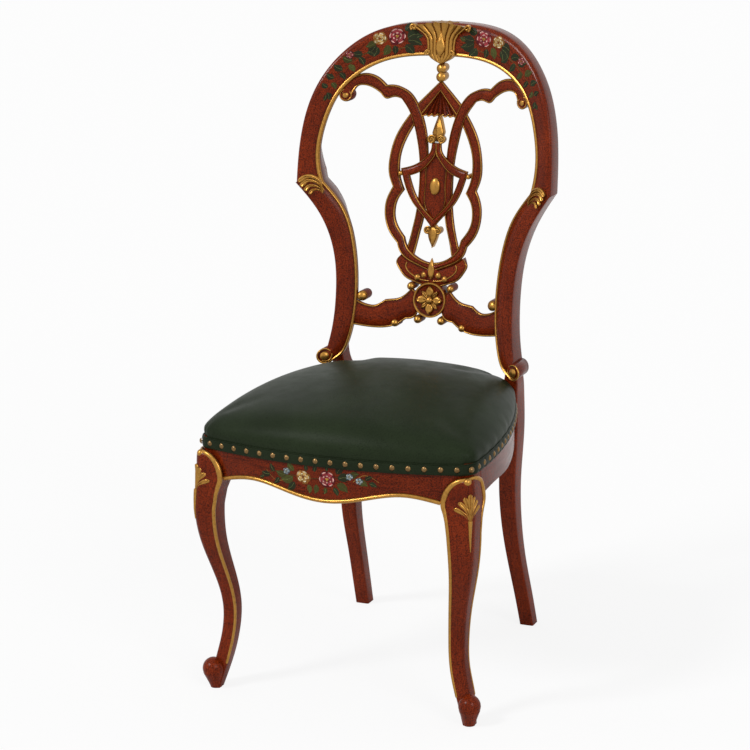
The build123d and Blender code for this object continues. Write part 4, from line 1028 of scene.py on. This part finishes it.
def seat_line(grow, count):
    """Outline of the seat seen from above, `grow` outside the frame, in `count` even steps.

    The front is an arc, a side bulges as 4 u (1 - u), the corners between them are rounded, and the
    rear is notched round the posts.
    """
    wide, fore = CORNER_X + grow, CORNER_Y - grow
    radius = (wide**2 + FRONT_BOW**2) / (2 * FRONT_BOW)
    x = np.linspace(0, wide, 60)
    front = np.stack([x, fore - FRONT_BOW + radius - np.sqrt(radius**2 - x**2)], -1)
    a, b = np.array([wide, fore]), np.array([SIDE_END_X + grow, SIDE_END_Y])
    u = np.linspace(0, 1, 60)[:, None]
    way = unit(b - a)
    side = a + (b - a) * u + np.array([-way[1], way[0]]) * -SIDE_BULGE * 4 * u * (1 - u)
    trim = 14 + grow
    front = front[np.linalg.norm(front - a, axis=1) > trim]
    side = side[(np.linalg.norm(side - a, axis=1) > trim) & (side[:, 1] < SIDE_END_Y - POST_GAP)]
    corner = spline([front[-1], side[0]], 14, front[-1] - front[-2], side[1] - side[0])
    inset = POST_INNER_X - POST_GAP
    notch = np.array([side[-1], (side[-1][0] - 1, SIDE_END_Y - POST_GAP), (inset, SIDE_END_Y - POST_GAP),
                      (inset, REAR_FACE_Y + grow), (0, REAR_FACE_Y + grow)])
    half = chain(front, corner, side, notch)
    ring = np.concatenate([half, mirrored(half)[::-1][1:-1]])
    return even(np.concatenate([ring, ring[:1]]), count + 1)[:-1]


def crown(x, y):
    """Height of the seat: part of a ball, top - R + sqrt(R^2 - x^2 - (y + forward)^2)."""
    return CROWN_TOP - CROWN_RADIUS + np.sqrt(CROWN_RADIUS**2 - x**2 - (y + CROWN_FORWARD) ** 2)


def cushion_grid():
    """Closed cushion: skirt, rounded shoulder, dome to the middle, and a flat under side.

    Over the shoulder, u from 0 to 1, the height climbs from the edge to the crown by
    (1 - (1 - u)^2.4)^0.56.
    """
    ring = seat_line(1.2, CUSHION_RING)
    centre = np.array([0, -60.0])
    way = unit(ring - centre)
    reach = np.linalg.norm(ring - centre, axis=1)[:, None]
    free = np.clip((150 - ring[:, 1:]) / 12, 0, 1)

    def level(flat, z):
        return np.concatenate([flat, np.full((CUSHION_RING, 1), z)], 1)

    under = [level(centre + (ring - centre) * k, CUSHION_FOOT) for k in (0.02, 0.5, 0.97)]
    points = [level(centre + way * (reach + free * out), z)
              for out, z in ((0, CUSHION_FOOT), (-.5, 433), (.4, 437), (1.6, 441))]
    bulge = 2.8 * free
    for u in np.concatenate([np.linspace(0, 1, 16) ** 2, [1.2, 1.45, 1.7, 2.0]]):
        flat = centre + way * (reach - (CUSHION_SHOULDER * u - bulge))
        rise = (1 - max(0, 1 - u) ** 2.4) ** 0.56
        z = CUSHION_EDGE + (crown(flat[:, :1], flat[:, 1:]) - CUSHION_EDGE) * rise
        points.append(np.concatenate([flat, z], 1))
    for k in np.linspace(0.97, 0.01, 30):
        flat = centre + way * (reach - CUSHION_SHOULDER * 2.0 + bulge) * k
        points.append(np.concatenate([flat, crown(flat[:, :1], flat[:, 1:])], 1))
    return weave(np.array(under + points))


def rows_of(source, key):
    """One row of three numbers for every item of a mesh's list."""
    flat = np.empty(len(source) * 3)
    source.foreach_get(key, flat)
    return flat.reshape(-1, 3)


def simulate(piece, pressure):
    """Swells the piece as cloth under pressure, held where it is nailed, then eases its creases.

    A point that moved by m keeps m min(1, furthest / |m|).
    """
    remesh = piece.modifiers.new("Even mesh", "REMESH")
    remesh.mode = "VOXEL"
    remesh.voxel_size = VOXEL
    bake_modifiers(piece)
    before = rows_of(piece.data.vertices, "co")
    group = piece.vertex_groups.new(name="held")
    group.add([int(i) for i in np.flatnonzero(before[:, 2] < NAILED_BELOW)], 1.0, "REPLACE")
    settings = piece.modifiers.new("Leather", "CLOTH").settings
    settings.quality = 6
    settings.mass = 0.4
    settings.tension_stiffness = 12
    settings.compression_stiffness = 40
    settings.bending_stiffness = 25
    settings.use_pressure = True
    settings.uniform_pressure_force = pressure
    settings.vertex_group_mass = "held"
    settings.effector_weights.gravity = 0
    scene = bpy.context.scene
    for step in range(1, CLOTH_FRAMES + 1):
        scene.frame_set(step)
    bake_modifiers(piece)
    move = rows_of(piece.data.vertices, "co") - before
    size = np.linalg.norm(move, axis=1, keepdims=True)
    kept = before + move * np.minimum(1, FURTHEST_MOVE / np.maximum(size, 1e-9))
    piece.data.vertices.foreach_set("co", kept.ravel())
    scene.frame_set(1)
    ease = piece.modifiers.new("Ease creases", "SMOOTH")
    ease.factor, ease.iterations = 0.5, 14
    bake_modifiers(piece)


def bake_modifiers(piece):
    """Puts what the modifiers give into the mesh and removes them."""
    graph = bpy.context.evaluated_depsgraph_get()
    mesh = bpy.data.meshes.new_from_object(piece.evaluated_get(graph))
    piece.modifiers.clear()
    piece.data = mesh


def pleats(points):
    """How far out each point of the skirt moves: tucks at the front corners, waves along the sides.

    A tuck is a groove exp(-((angle - its own) / width)^2) that runs down from the corner.
    """
    x, y, z = points.T
    side = np.clip((470 - z) / 30, 0, 1) * np.clip((z - 426) / 8, 0, 1)
    corner = np.exp(-((np.abs(x) - 226) ** 2 + (y + 250) ** 2) / 40**2)
    angle = np.arctan2(np.abs(x) - 190, -(y + 205))
    tuck = -1.8 * np.exp(-((angle - 0.72) / 0.05) ** 2) - 1.0 * np.exp(-((angle - 0.9) / 0.06) ** 2)
    pull = 0.35 * np.sin(y / 6.5 + z / 9) * np.clip((np.abs(x) - 190) / 30, 0, 1)
    return (tuck * corner * 1.4 + pull) * side


def cushion(pressure):
    """The filled leather seat, swelled by simulation, then tucked at its corners."""
    piece = make_piece("leather_seat", [cushion_grid()], finishes["seat"],
                       ("leather_cover", "seat_foam"))
    simulate(piece, pressure)
    spot = rows_of(piece.data.vertices, "co") / MM
    spot = spot + rows_of(piece.data.vertex_normals, "vector") * pleats(spot)[:, None]
    spot[:, 2] = np.minimum(spot[:, 2], CROWN_LIMIT)
    piece.data.vertices.foreach_set("co", (spot * MM).ravel())
    smooth = piece.modifiers.new("Fine skin", "SUBSURF")
    smooth.levels = smooth.render_levels = 1
    bake_modifiers(piece)
    piece.data.shade_smooth()
    if not piece.data.materials:
        piece.data.materials.append(finishes["seat"])


def nail_places(ring):
    """Length along the ring of each nail, from the nails of the frame, and the ring's step."""
    nails = frame["nodes"]["brass_nails"]
    spots = rows_of(nails.data.vertices, "co")
    spots = (np.c_[spots, np.ones(len(spots))] @ np.array(nails.matrix_world).T)[:, :3] / MM
    gap = np.linalg.norm(spots[:, None, :2] - ring[None], axis=2)
    step = np.linalg.norm(np.roll(ring, -1, 0) - ring, axis=1).mean()
    at = np.sort(gap.argmin(1) * step)
    parts = np.split(at, np.flatnonzero(np.diff(at) > NAIL_GAP) + 1)
    return np.array([part.mean() for part in parts]), step


def band_shells():
    """Leather band with a folded top edge: between two nails it puffs out by sin(pi t)^0.6."""
    ring = seat_line(BAND_GROW, BAND_RING)
    nails, step = nail_places(ring)
    total = step * len(ring)
    s = np.arange(len(ring)) * step
    knots = np.concatenate([[nails[-1] - total], nails, [nails[0] + total]])
    k = np.clip(np.searchsorted(knots, s, "right") - 1, 0, len(knots) - 2)
    phase = (s - knots[k]) / (knots[k + 1] - knots[k])
    puff = np.sin(np.pi * np.clip(phase, 0, 1)) ** 0.6
    tangent = unit(np.roll(ring, -1, 0) - np.roll(ring, 1, 0))
    out = np.stack([tangent[:, 1], -tangent[:, 0]], -1)
    # its section from the foot up: height, distance from the ring, share of the puff
    section = [(418.0, -1.4, 0), (418.0, .1, .3), (419.2, .5, .9), (422, .6, 1.5), (427, .3, 1.1),
               (431, .5, 1.5), (433.6, .5, .8), (434.4, .0, 0), (434.8, .5, .2), (435.8, .4, .1),
               (436.2, -.4, 0), (436.2, -1.4, 0)]
    rows = [np.concatenate([ring + out * (flat + lift * puff[:, None]), np.full((len(ring), 1), z)], 1)
            for z, flat, lift in section]
    points = np.stack(rows, 1)
    # painted shade in the tucks: the puffed rows darken toward each nail, where the puff sinks in
    tuck_shade = np.stack([np.clip(0.6 - puff, 0, 1) * (0 < lift) for z, flat, lift in section], 1)
    return [weave(np.concatenate([points, points[:1]]), grime=np.concatenate([tuck_shade, tuck_shade[:1]]),
                  caps=False)]


def dust_cloth_shells():
    """Black cloth under the seat, drawn tight, sagging 2 mm in the middle."""
    y = np.linspace(DUST_FRONT, DUST_REAR, 60)
    bulge = 10 * np.sin(np.pi * (y - DUST_FRONT) / (DUST_REAR - DUST_FRONT))
    between_rails = np.interp(y, [CORNER_Y, SIDE_END_Y], [205, 133]) + bulge
    widest = np.where(y < -203, 186, 209)   # less between the blocks of the front legs
    half = np.where(y > 145, 131, np.minimum(between_rails, widest))[:, None]
    v = np.linspace(-1, 1, 60)[None]
    sag = -2.0 * (1 - v**2) * np.sin(np.pi * np.linspace(0, 1, 60))[:, None]
    top = np.stack([v * half, y[:, None] + 0 * v, DUST_HEIGHT + sag], -1)
    low = top[:, ::-1] - (0, 0, DUST_THICK)
    return [weave(np.concatenate([top, low], 1))]


# ---------------------------------------------------------------- painted sprays

# paint: how proud a stroke is, how far its edge sinks in, and how much each layer lies higher
PAINT_RISE, PAINT_SINK, PAINT_LAYER = 0.3, 0.25, 0.12


class Brush:
    """Thin painted shapes laid on one surface."""

    def __init__(self, place, seed):
        self.place = place
        self.dice = np.random.default_rng(seed)
        self.shells = []

    def stroke(self, path, half, colour, layer=0.0):
        """One flat lens: proud in its middle, its edge just under the surface."""
        shade = np.clip(np.array(colour) * self.dice.uniform(0.62, 1.3), 0, 1)
        self.shells.append(lobe(path, half, PAINT_RISE, self.place, layer * PAINT_LAYER, PAINT_SINK,
                                columns=5, tint=shade))

    def leaf(self, x, z, turn, long, colour, wide):
        """A leaf from x, z, bent to one side by 0.12 of its length, and its rib."""
        a = np.radians(turn)
        u = np.linspace(0, 1, 10)
        bend = 0.12 * long * np.sin(np.pi * u)
        path = np.stack([x + long * u * np.cos(a) - bend * np.sin(a),
                         z + long * u * np.sin(a) + bend * np.cos(a)], -1)
        self.stroke(path, leaf_width(long * wide, 10, 0.8), colour)
        self.stroke(path[1:9], 0.3, RIB, 1.5)

    def foliage(self, leaves, share, wide, grow=1.0, side=1):
        """Leaves given as x, z, turn and length, about `share` of them in the darker green."""
        for x, z, turn, long in leaves:
            colour = GREEN if self.dice.random() < share else OLIVE
            self.leaf(side * x, z, turn if side > 0 else 180 - turn, long * grow, colour, wide)

    def bloom(self, x, z, size, colours, petals):
        """A flower in dark, middle, light and heart colours.

        Two rings of petals, each one dark with a middle petal on it, which has a light rim.
        """
        dark, middle, light, heart = colours
        for ring, (reach, broad, shade) in enumerate(((1.0, 0.5, dark), (0.86, 0.36, middle),
                                                      (0.56, 0.3, dark), (0.46, 0.2, middle))):
            for k in range(petals):
                a = 2 * np.pi * (k + 0.5 * (ring > 1)) / petals + self.dice.uniform(-0.12, 0.12)
                long = size * reach * self.dice.uniform(0.85, 1.08)
                u = np.linspace(0.06, 1, 9) * long
                path = np.stack([x + u * np.cos(a), z + 0.9 * u * np.sin(a)], -1)
                self.stroke(path, leaf_width(size * reach * broad, 9, 1.6), shade, 2 + ring)
                if ring in (1, 3):
                    arc = a + np.linspace(-0.42, 0.42, 9) * self.dice.uniform(0.7, 1.1)
                    rim = np.stack([x + 0.9 * long * np.cos(arc), z + 0.81 * long * np.sin(arc)], -1)
                    self.stroke(rim, leaf_width(0.075 * size, 9, 1.0), light, 3.5 + ring)
        for a in (0.4, 2.5, 4.6):
            path = np.stack([x + np.linspace(0, 0.2, 6) * size * np.cos(a),
                             z + np.linspace(0, 0.2, 6) * size * np.sin(a)], -1)
            self.stroke(path, leaf_width(0.08 * size, 6, 1.0), heart, 8)

    def tendril(self, points, colour, half=0.55):
        """A thin stem through the points, tapering to 0.4 of its width."""
        path = spline(points, 30)
        self.stroke(path, np.linspace(half, half * 0.4, 30), colour, -0.5)


GREEN, OLIVE = (0.010, 0.026, 0.010), (0.06, 0.07, 0.014)
YELLOW, RIB = (0.46, 0.25, 0.05), (0.16, 0.2, 0.06)
ROSE = ((0.1, 0.006, 0.01), (0.3, 0.035, 0.045), (0.72, 0.4, 0.34), (0.5, 0.3, 0.05))
BLOSSOM = ((0.3, 0.12, 0.02), (0.56, 0.36, 0.12), (0.85, 0.72, 0.48), (0.22, 0.04, 0.01))
BUD = ((0.06, 0.1, 0.12), (0.24, 0.32, 0.34), (0.7, 0.72, 0.66), (0.4, 0.25, 0.05))


# leaves: x, z, turn in degrees, length
CREST_LEAVES = ((62, 1030, 165, 22), (62, 1026, 195, 24), (66, 1018, 222, 20), (84, 1018, 262, 14),
                (94, 1020, 290, 18), (66, 1042, 150, 17), (114, 1024, 335, 17), (114, 1019, 315, 20),
                (112, 1016, 290, 16), (128, 1008, 215, 15), (134, 1004, 5, 17), (142, 998, 235, 15),
                (150, 993, 20, 16), (158, 985, 228, 14), (165, 978, 28, 15), (171, 972, 232, 13),
                (178, 964, 30, 13), (183, 956, 238, 12), (187, 948, 40, 11), (189, 940, 255, 12),
                (190, 936, 290, 10), (48, 1024, 205, 13), (46, 1030, 160, 12))
RAIL_LEAVES = ((-96, 395, 172, 17), (-88, 400, 118, 15), (-80, 392, 228, 15), (-66, 398, 168, 20),
               (-52, 406, 128, 18), (-54, 396, 195, 24), (-52, 388, 226, 20), (-30, 408, 84, 12),
               (-28, 386, 280, 15), (-16, 408, 68, 13), (-14, 388, 262, 16), (2, 385, 262, 12),
               (22, 408, 42, 20), (24, 400, 6, 24), (22, 391, 328, 22), (16, 385, 300, 15),
               (44, 404, 24, 18), (56, 398, 344, 19), (70, 402, 26, 14), (76, 397, 338, 14),
               (6, 411, 84, 9), (-108, 391, 200, 10))
VINE = ((120, 1010), (146, 994), (166, 976), (181, 960), (190, 938))


def crest_sprays(side, seed):
    """Roses, a blossom, leaves and a trailing vine on the half of the crest at `side`, 1 or -1."""
    brush = Brush(on_crest, seed)
    brush.tendril([(side * x, z) for x, z in VINE], OLIVE, 0.8)
    brush.tendril([(side * x, z) for x, z in ((60, 1016), (84, 1010), (110, 1006))], OLIVE, 0.7)
    brush.foliage(CREST_LEAVES, 0.7, 0.36, 1.15, side)
    brush.bloom(side * 79, 1033, 16.5, ROSE, 6)
    brush.bloom(side * 108, 1029, 12.5, BLOSSOM, 5)
    brush.bloom(side * 156, 1002, 7.5, ROSE, 5)
    return brush.shells


def rail_sprays():
    """Spray along the front rail: blossom, rose and pale buds among leaves and tendrils."""
    brush = Brush(on_front(0.0), 11)
    brush.tendril([(-112, 392), (-80, 402), (-40, 396), (0, 400), (40, 404), (88, 396)], OLIVE)
    brush.tendril([(-60, 396), (-84, 386), (-104, 402)], YELLOW, 0.5)
    brush.tendril([(50, 398), (70, 410), (92, 400)], YELLOW, 0.5)
    brush.foliage(RAIL_LEAVES, 0.65, 0.3)
    brush.bloom(-36, 398, 13.5, BLOSSOM, 5)
    brush.bloom(6, 398, 16, ROSE, 6)
    for x, z in ((-66, 404), (44, 406), (60, 400)):
        brush.bloom(x, z, 6.5, BUD, 5)
    return brush.shells


# ---------------------------------------------------------------- what a user may change

class ChairFinish(bpy.types.PropertyGroup):
    """Colours of the finishes."""

    lacquer: FloatVectorProperty(name="Lacquer", description="Ground colour of the lacquer", size=3,
                                 subtype="COLOR", min=0, max=1, default=(0.165, 0.0185, 0.0034))
    gold: FloatVectorProperty(name="Gold", description="Colour of the gold leaf", size=3,
                              subtype="COLOR", min=0, max=1, default=(0.44, 0.222, 0.048))
    leather: FloatVectorProperty(name="Leather", description="Colour of the seat's leather", size=3,
                                 subtype="COLOR", min=0, max=1, default=(0.015, 0.0225, 0.0105))
    brass: FloatVectorProperty(name="Brass", description="Colour of the nail heads", size=3,
                               subtype="COLOR", min=0, max=1, default=(0.21, 0.125, 0.048))


class ChairSizes(bpy.types.PropertyGroup):
    """How the seat is filled and where the chair is seen from."""

    pressure: FloatProperty(name="Filling", description="Pressure of the filling on the leather",
                            default=4.0, min=0, max=20)
    rows: IntProperty(name="Streaks", description="Streaks in the lacquer per metre", default=260, min=20)
    lens: FloatProperty(name="Lens", description="Focal length of the camera", default=114.63,
                        unit="CAMERA", subtype="DISTANCE_CAMERA")
    key_light: FloatProperty(name="Key light", description="Strength of the main lamp", default=1.5,
                             min=0)


class SIDECHAIR_OT_finishes(bpy.types.Operator):
    """Mix every finish and give the carried-over parts theirs"""

    bl_idname = "sidechair.finishes"
    bl_label = "Finishes"

    def execute(self, context):
        look, rows = context.scene.side_chair_finish, context.scene.side_chair_sizes.rows
        finishes["carved"] = lacquer_and_gold("lacquer_along_grain", look, (22, rows, 1), "UV")
        finishes["level"] = lacquer_and_gold("lacquer_level", look, (16, 16, rows), "Object", 0.78)
        finishes["seat"] = leather("seat_leather", look.leather)
        finishes["band"] = leather("band_leather", [c * 0.85 for c in look.leather], 700.0)
        finishes["paint"] = paint_finish("flower_paint")
        finishes["cloth"] = cloth("black_cloth", (0.02, 0.02, 0.022), (0.006, 0.006, 0.007), 900.0)
        wood = timber("beech", (0.5, 0.34, 0.18), (0.34, 0.2, 0.09))
        carried = {
            "front_rail": finishes["level"], "rear_rail": finishes["level"],
            "side_rail_left": finishes["level"], "side_rail_right": finishes["level"],
            "brass_nails": metal("nail_brass_worn", look.brass, 0.22, (0.06, 0.03, 0.012)),
            "corner_block_screws": metal("screw_steel_dull", (0.4, 0.4, 0.41), 0.35, (0.12, 0.11, 0.1)),
            "webbing_long": cloth("jute_webbing", (0.42, 0.3, 0.16), (0.22, 0.14, 0.07), 420.0),
            "hessian": cloth("jute_hessian", (0.5, 0.37, 0.2), (0.26, 0.17, 0.08), 600.0),
        }
        carried["webbing_cross"] = carried["webbing_long"]
        for name in ("corner_block_front_left", "corner_block_front_right", "corner_block_rear_left",
                     "corner_block_rear_right", "crest_dowels", "cross_rail_dowels",
                     "seat_rail_dowels"):
            carried[name] = wood
        for name, material in carried.items():
            for slot in frame["nodes"][name].material_slots:
                slot.material = material
        return {"FINISHED"}


class SIDECHAIR_OT_frame(bpy.types.Operator):
    """Make the rear posts, the crest, the front legs and their gold beads"""

    bl_idname = "sidechair.frame"
    bl_label = "Posts, crest and legs"

    def execute(self, context):
        finish = finishes["carved"]
        for side, turn in (("right", list), ("left", opposite)):
            make_piece(f"post_and_stile_{side}", turn(post_shells()), finish,
                       (f"rear_post_{side}",))
            make_piece(f"arched_crest_{side}", turn(crest_shells()), finish,
                       (f"crest_{side}",))
            make_piece(f"cabriole_leg_{side}", turn(leg_shells()), finish,
                       (f"front_leg_{side}",))
        make_piece("gold_beads", gilt_bead_shells(), finish)
        return {"FINISHED"}


class SIDECHAIR_OT_splat(bpy.types.Operator):
    """Make the pierced splat and the cross rail"""

    bl_idname = "sidechair.splat"
    bl_label = "Splat and cross rail"

    def execute(self, context):
        finish = finishes["carved"]
        strap = strap_shells()
        for name, shells, node in (("moulded_cross_rail", cross_rail_shells(), "cross_rail"),
                                   ("carved_wings", wing_shells(), "splat_wings"),
                                   ("ogee_loop", loop_shells(), "splat_loop"),
                                   ("strap_right", strap, "splat_strap_right"),
                                   ("strap_left", opposite(strap), "splat_strap_left"),
                                   ("shield_and_panel", shield_shells(), "splat_shield"),
                                   ("roofed_pediment", pediment_shells(), "splat_pediment")):
            make_piece(name, shells, finish, (node,))
        return {"FINISHED"}


class SIDECHAIR_OT_carving(bpy.types.Operator):
    """Make the gilded carving"""

    bl_idname = "sidechair.carving"
    bl_label = "Gilded carving"

    def execute(self, context):
        small = splat_ornaments()
        leaf, shell = shoulder_leaf_shells(), knee_shell_shells()
        for name, shells, node in (("fluted_cartouche", cartouche_shells(), "crest_cartouche"),
                                   ("petalled_rosette", rosette_shells(), "cross_rail_rosette"),
                                   ("leaf_bud", small["bud"], "splat_bud"),
                                   ("oval_boss", small["boss"], "shield_boss"),
                                   ("round_pins", small["pins"], "shield_pins"),
                                   ("drop_pendant", small["pendant"], "splat_pendant"),
                                   ("spear_finial", small["finial"], "splat_finial"),
                                   ("turned_beads", small["beads"], "splat_beads"),
                                   ("shoulder_leaf_right", leaf, "stile_leaf_right"),
                                   ("shoulder_leaf_left", opposite(leaf), "stile_leaf_left"),
                                   ("fan_shell_right", shell, "knee_shell_right"),
                                   ("fan_shell_left", opposite(shell), "knee_shell_left")):
            make_piece(name, shells, finishes["carved"], (node,))
        return {"FINISHED"}


class SIDECHAIR_OT_paint(bpy.types.Operator):
    """Paint the flower sprays"""

    bl_idname = "sidechair.paint"
    bl_label = "Painted sprays"

    def execute(self, context):
        for name, shells in (("spray_crest_right", crest_sprays(1, 5)),
                             ("spray_crest_left", crest_sprays(-1, 8)),
                             ("spray_front_rail", rail_sprays())):
            make_piece(name, shells, finishes["paint"])
        return {"FINISHED"}


class SIDECHAIR_OT_seat(bpy.types.Operator):
    """Make the leather seat, its nailed band and the cloth under it"""

    bl_idname = "sidechair.seat"
    bl_label = "Seat"

    def execute(self, context):
        cushion(context.scene.side_chair_sizes.pressure)
        band = make_piece("puffed_band", band_shells(), finishes["band"],
                          ("leather_band",))
        around = np.linalg.norm(np.diff(seat_line(BAND_GROW, BAND_RING), axis=0), axis=1).sum() * MM
        cloth_piece = make_piece("seat_dust_cloth", dust_cloth_shells(), finishes["cloth"],
                                 ("dust_cover",))
        return {"FINISHED"}


# ---------------------------------------------------------------- stage

# how far the floor reaches, in metres, and how much of its own white the camera sees
FLOOR_REACH, FLOOR_WHITE = 60.0, 0.85
# strength of the even light, and of the second lamp
WORLD_LIGHT, FILL_LIGHT = 0.5, 0.8
# lamps: how wide they look and how they are turned, in degrees
KEY_LAMP, FILL_LAMP = (13, (48, 0, -38)), (24, (60, 0, 55))
WHITE = (1, 1, 1, 1)
# the camera: where it stands, and which way its right, its top and its rear point
EYE = (1.513836, -3.544453, 1.507603)
EYE_RIGHT = (0.91812041, 0.39598367, -0.01586957)
EYE_UP = (-0.08626217, 0.23876918, 0.96723736)
EYE_BACK = (0.38679936, -0.88667142, 0.25337727)
SENSOR, SIGHT = 36.0, 200.0


def pale_floor_finish():
    """Matt and pale in its own light, nearly white to the camera."""
    pale = bpy.data.materials.new("pale_floor")
    pale.use_nodes = True
    tree = pale.node_tree
    tree.nodes.clear()
    matte = add_node(tree, "ShaderNodeBsdfDiffuse", {"Color": (0.9, 0.9, 0.9, 1)})
    glow = add_node(tree, "ShaderNodeEmission")
    seen = add_node(tree, "ShaderNodeLightPath").outputs
    share = add_node(tree, "ShaderNodeMath", {0: seen["Is Camera Ray"], 1: FLOOR_WHITE},
                     operation="MULTIPLY")
    blend = add_node(tree, "ShaderNodeMixShader", {0: share.outputs[0], 1: matte.outputs[0],
                                                   2: glow.outputs[0]})
    add_node(tree, "ShaderNodeOutputMaterial", {0: blend.outputs[0]})
    return pale


def studio_world():
    """White to the eye, in reflections and through glass, and a dimmer, even light on the chair."""
    world = bpy.data.worlds.new("studio")
    world.use_nodes = True
    tree = world.node_tree
    tree.nodes.clear()
    soft, white = (add_node(tree, "ShaderNodeBackground", {"Color": WHITE, "Strength": strength})
                   for strength in (WORLD_LIGHT, 1.0))
    seen = add_node(tree, "ShaderNodeLightPath").outputs
    total = seen["Is Camera Ray"]
    for kind in ("Is Glossy Ray", "Is Transmission Ray"):
        total = add_node(tree, "ShaderNodeMath", {0: total, 1: seen[kind]}, operation="ADD",
                         use_clamp=True).outputs[0]
    blend = add_node(tree, "ShaderNodeMixShader", {0: total, 1: soft.outputs[0], 2: white.outputs[0]})
    add_node(tree, "ShaderNodeOutputWorld", {0: blend.outputs[0]})
    return world


class SIDECHAIR_OT_stage(bpy.types.Operator):
    """Set the floor, the lamps, the world and the camera"""

    bl_idname = "sidechair.stage"
    bl_label = "Stage"

    def execute(self, context):
        scene = context.scene
        scene.view_settings.view_transform = "Standard"
        mesh = bpy.data.meshes.new("studio_floor")
        corners = ((-1, -1), (1, -1), (1, 1), (-1, 1))
        mesh.from_pydata([(FLOOR_REACH * x, FLOOR_REACH * y, 0) for x, y in corners], [],
                         [(0, 1, 2, 3)])
        floor = bpy.data.objects.new("studio_floor", mesh)
        scene.collection.objects.link(floor)
        mesh.materials.append(pale_floor_finish())
        scene.world = studio_world()
        for name, strength, (width, turn) in (("key", scene.side_chair_sizes.key_light, KEY_LAMP),
                                              ("fill", FILL_LIGHT, FILL_LAMP)):
            lamp = bpy.data.lights.new(name, "SUN")
            lamp.energy = strength
            lamp.angle = np.radians(width)
            thing = bpy.data.objects.new(name, lamp)
            thing.rotation_euler = [np.radians(a) for a in turn]
            scene.collection.objects.link(thing)
        camera = bpy.data.cameras.new("viewer")
        camera.lens = scene.side_chair_sizes.lens
        camera.sensor_width = SENSOR
        camera.clip_end = SIGHT
        eye = bpy.data.objects.new("viewer", camera)
        axes = Matrix((Vector(EYE_RIGHT), Vector(EYE_UP), Vector(EYE_BACK)))
        eye.matrix_world = Matrix.Translation(EYE) @ axes.transposed().to_4x4()
        scene.collection.objects.link(eye)
        scene.camera = eye
        return {"FINISHED"}


class SIDECHAIR_PT_panel(bpy.types.Panel):
    """Lists the steps in the order in which they are taken"""

    bl_idname = "SIDECHAIR_PT_panel"
    bl_label = "Side chair"
    bl_space_type = "VIEW_3D"
    bl_region_type = "UI"
    bl_category = "Side chair"

    def draw(self, context):
        layout = self.layout
        for name in ("lacquer", "gold", "leather", "brass"):
            layout.prop(context.scene.side_chair_finish, name)
        for name in ("pressure", "rows", "lens", "key_light"):
            layout.prop(context.scene.side_chair_sizes, name)
        for step in STEPS:
            layout.operator(f"sidechair.{step}")


STEPS = ("finishes", "frame", "splat", "carving", "paint", "seat", "stage")
CLASSES = (ChairFinish, ChairSizes, SIDECHAIR_OT_finishes, SIDECHAIR_OT_frame, SIDECHAIR_OT_splat,
           SIDECHAIR_OT_carving, SIDECHAIR_OT_paint, SIDECHAIR_OT_seat, SIDECHAIR_OT_stage,
           SIDECHAIR_PT_panel)


def register():
    for kind in CLASSES:
        bpy.utils.register_class(kind)
    bpy.types.Scene.side_chair_finish = PointerProperty(type=ChairFinish)
    bpy.types.Scene.side_chair_sizes = PointerProperty(type=ChairSizes)


def unregister():
    del bpy.types.Scene.side_chair_sizes
    del bpy.types.Scene.side_chair_finish
    for kind in reversed(CLASSES):
        bpy.utils.unregister_class(kind)


def main():
    """Takes every step in its order."""
    register()
    for step in STEPS:
        getattr(bpy.ops.sidechair, step)()


if __name__ == "__main__":
    main()
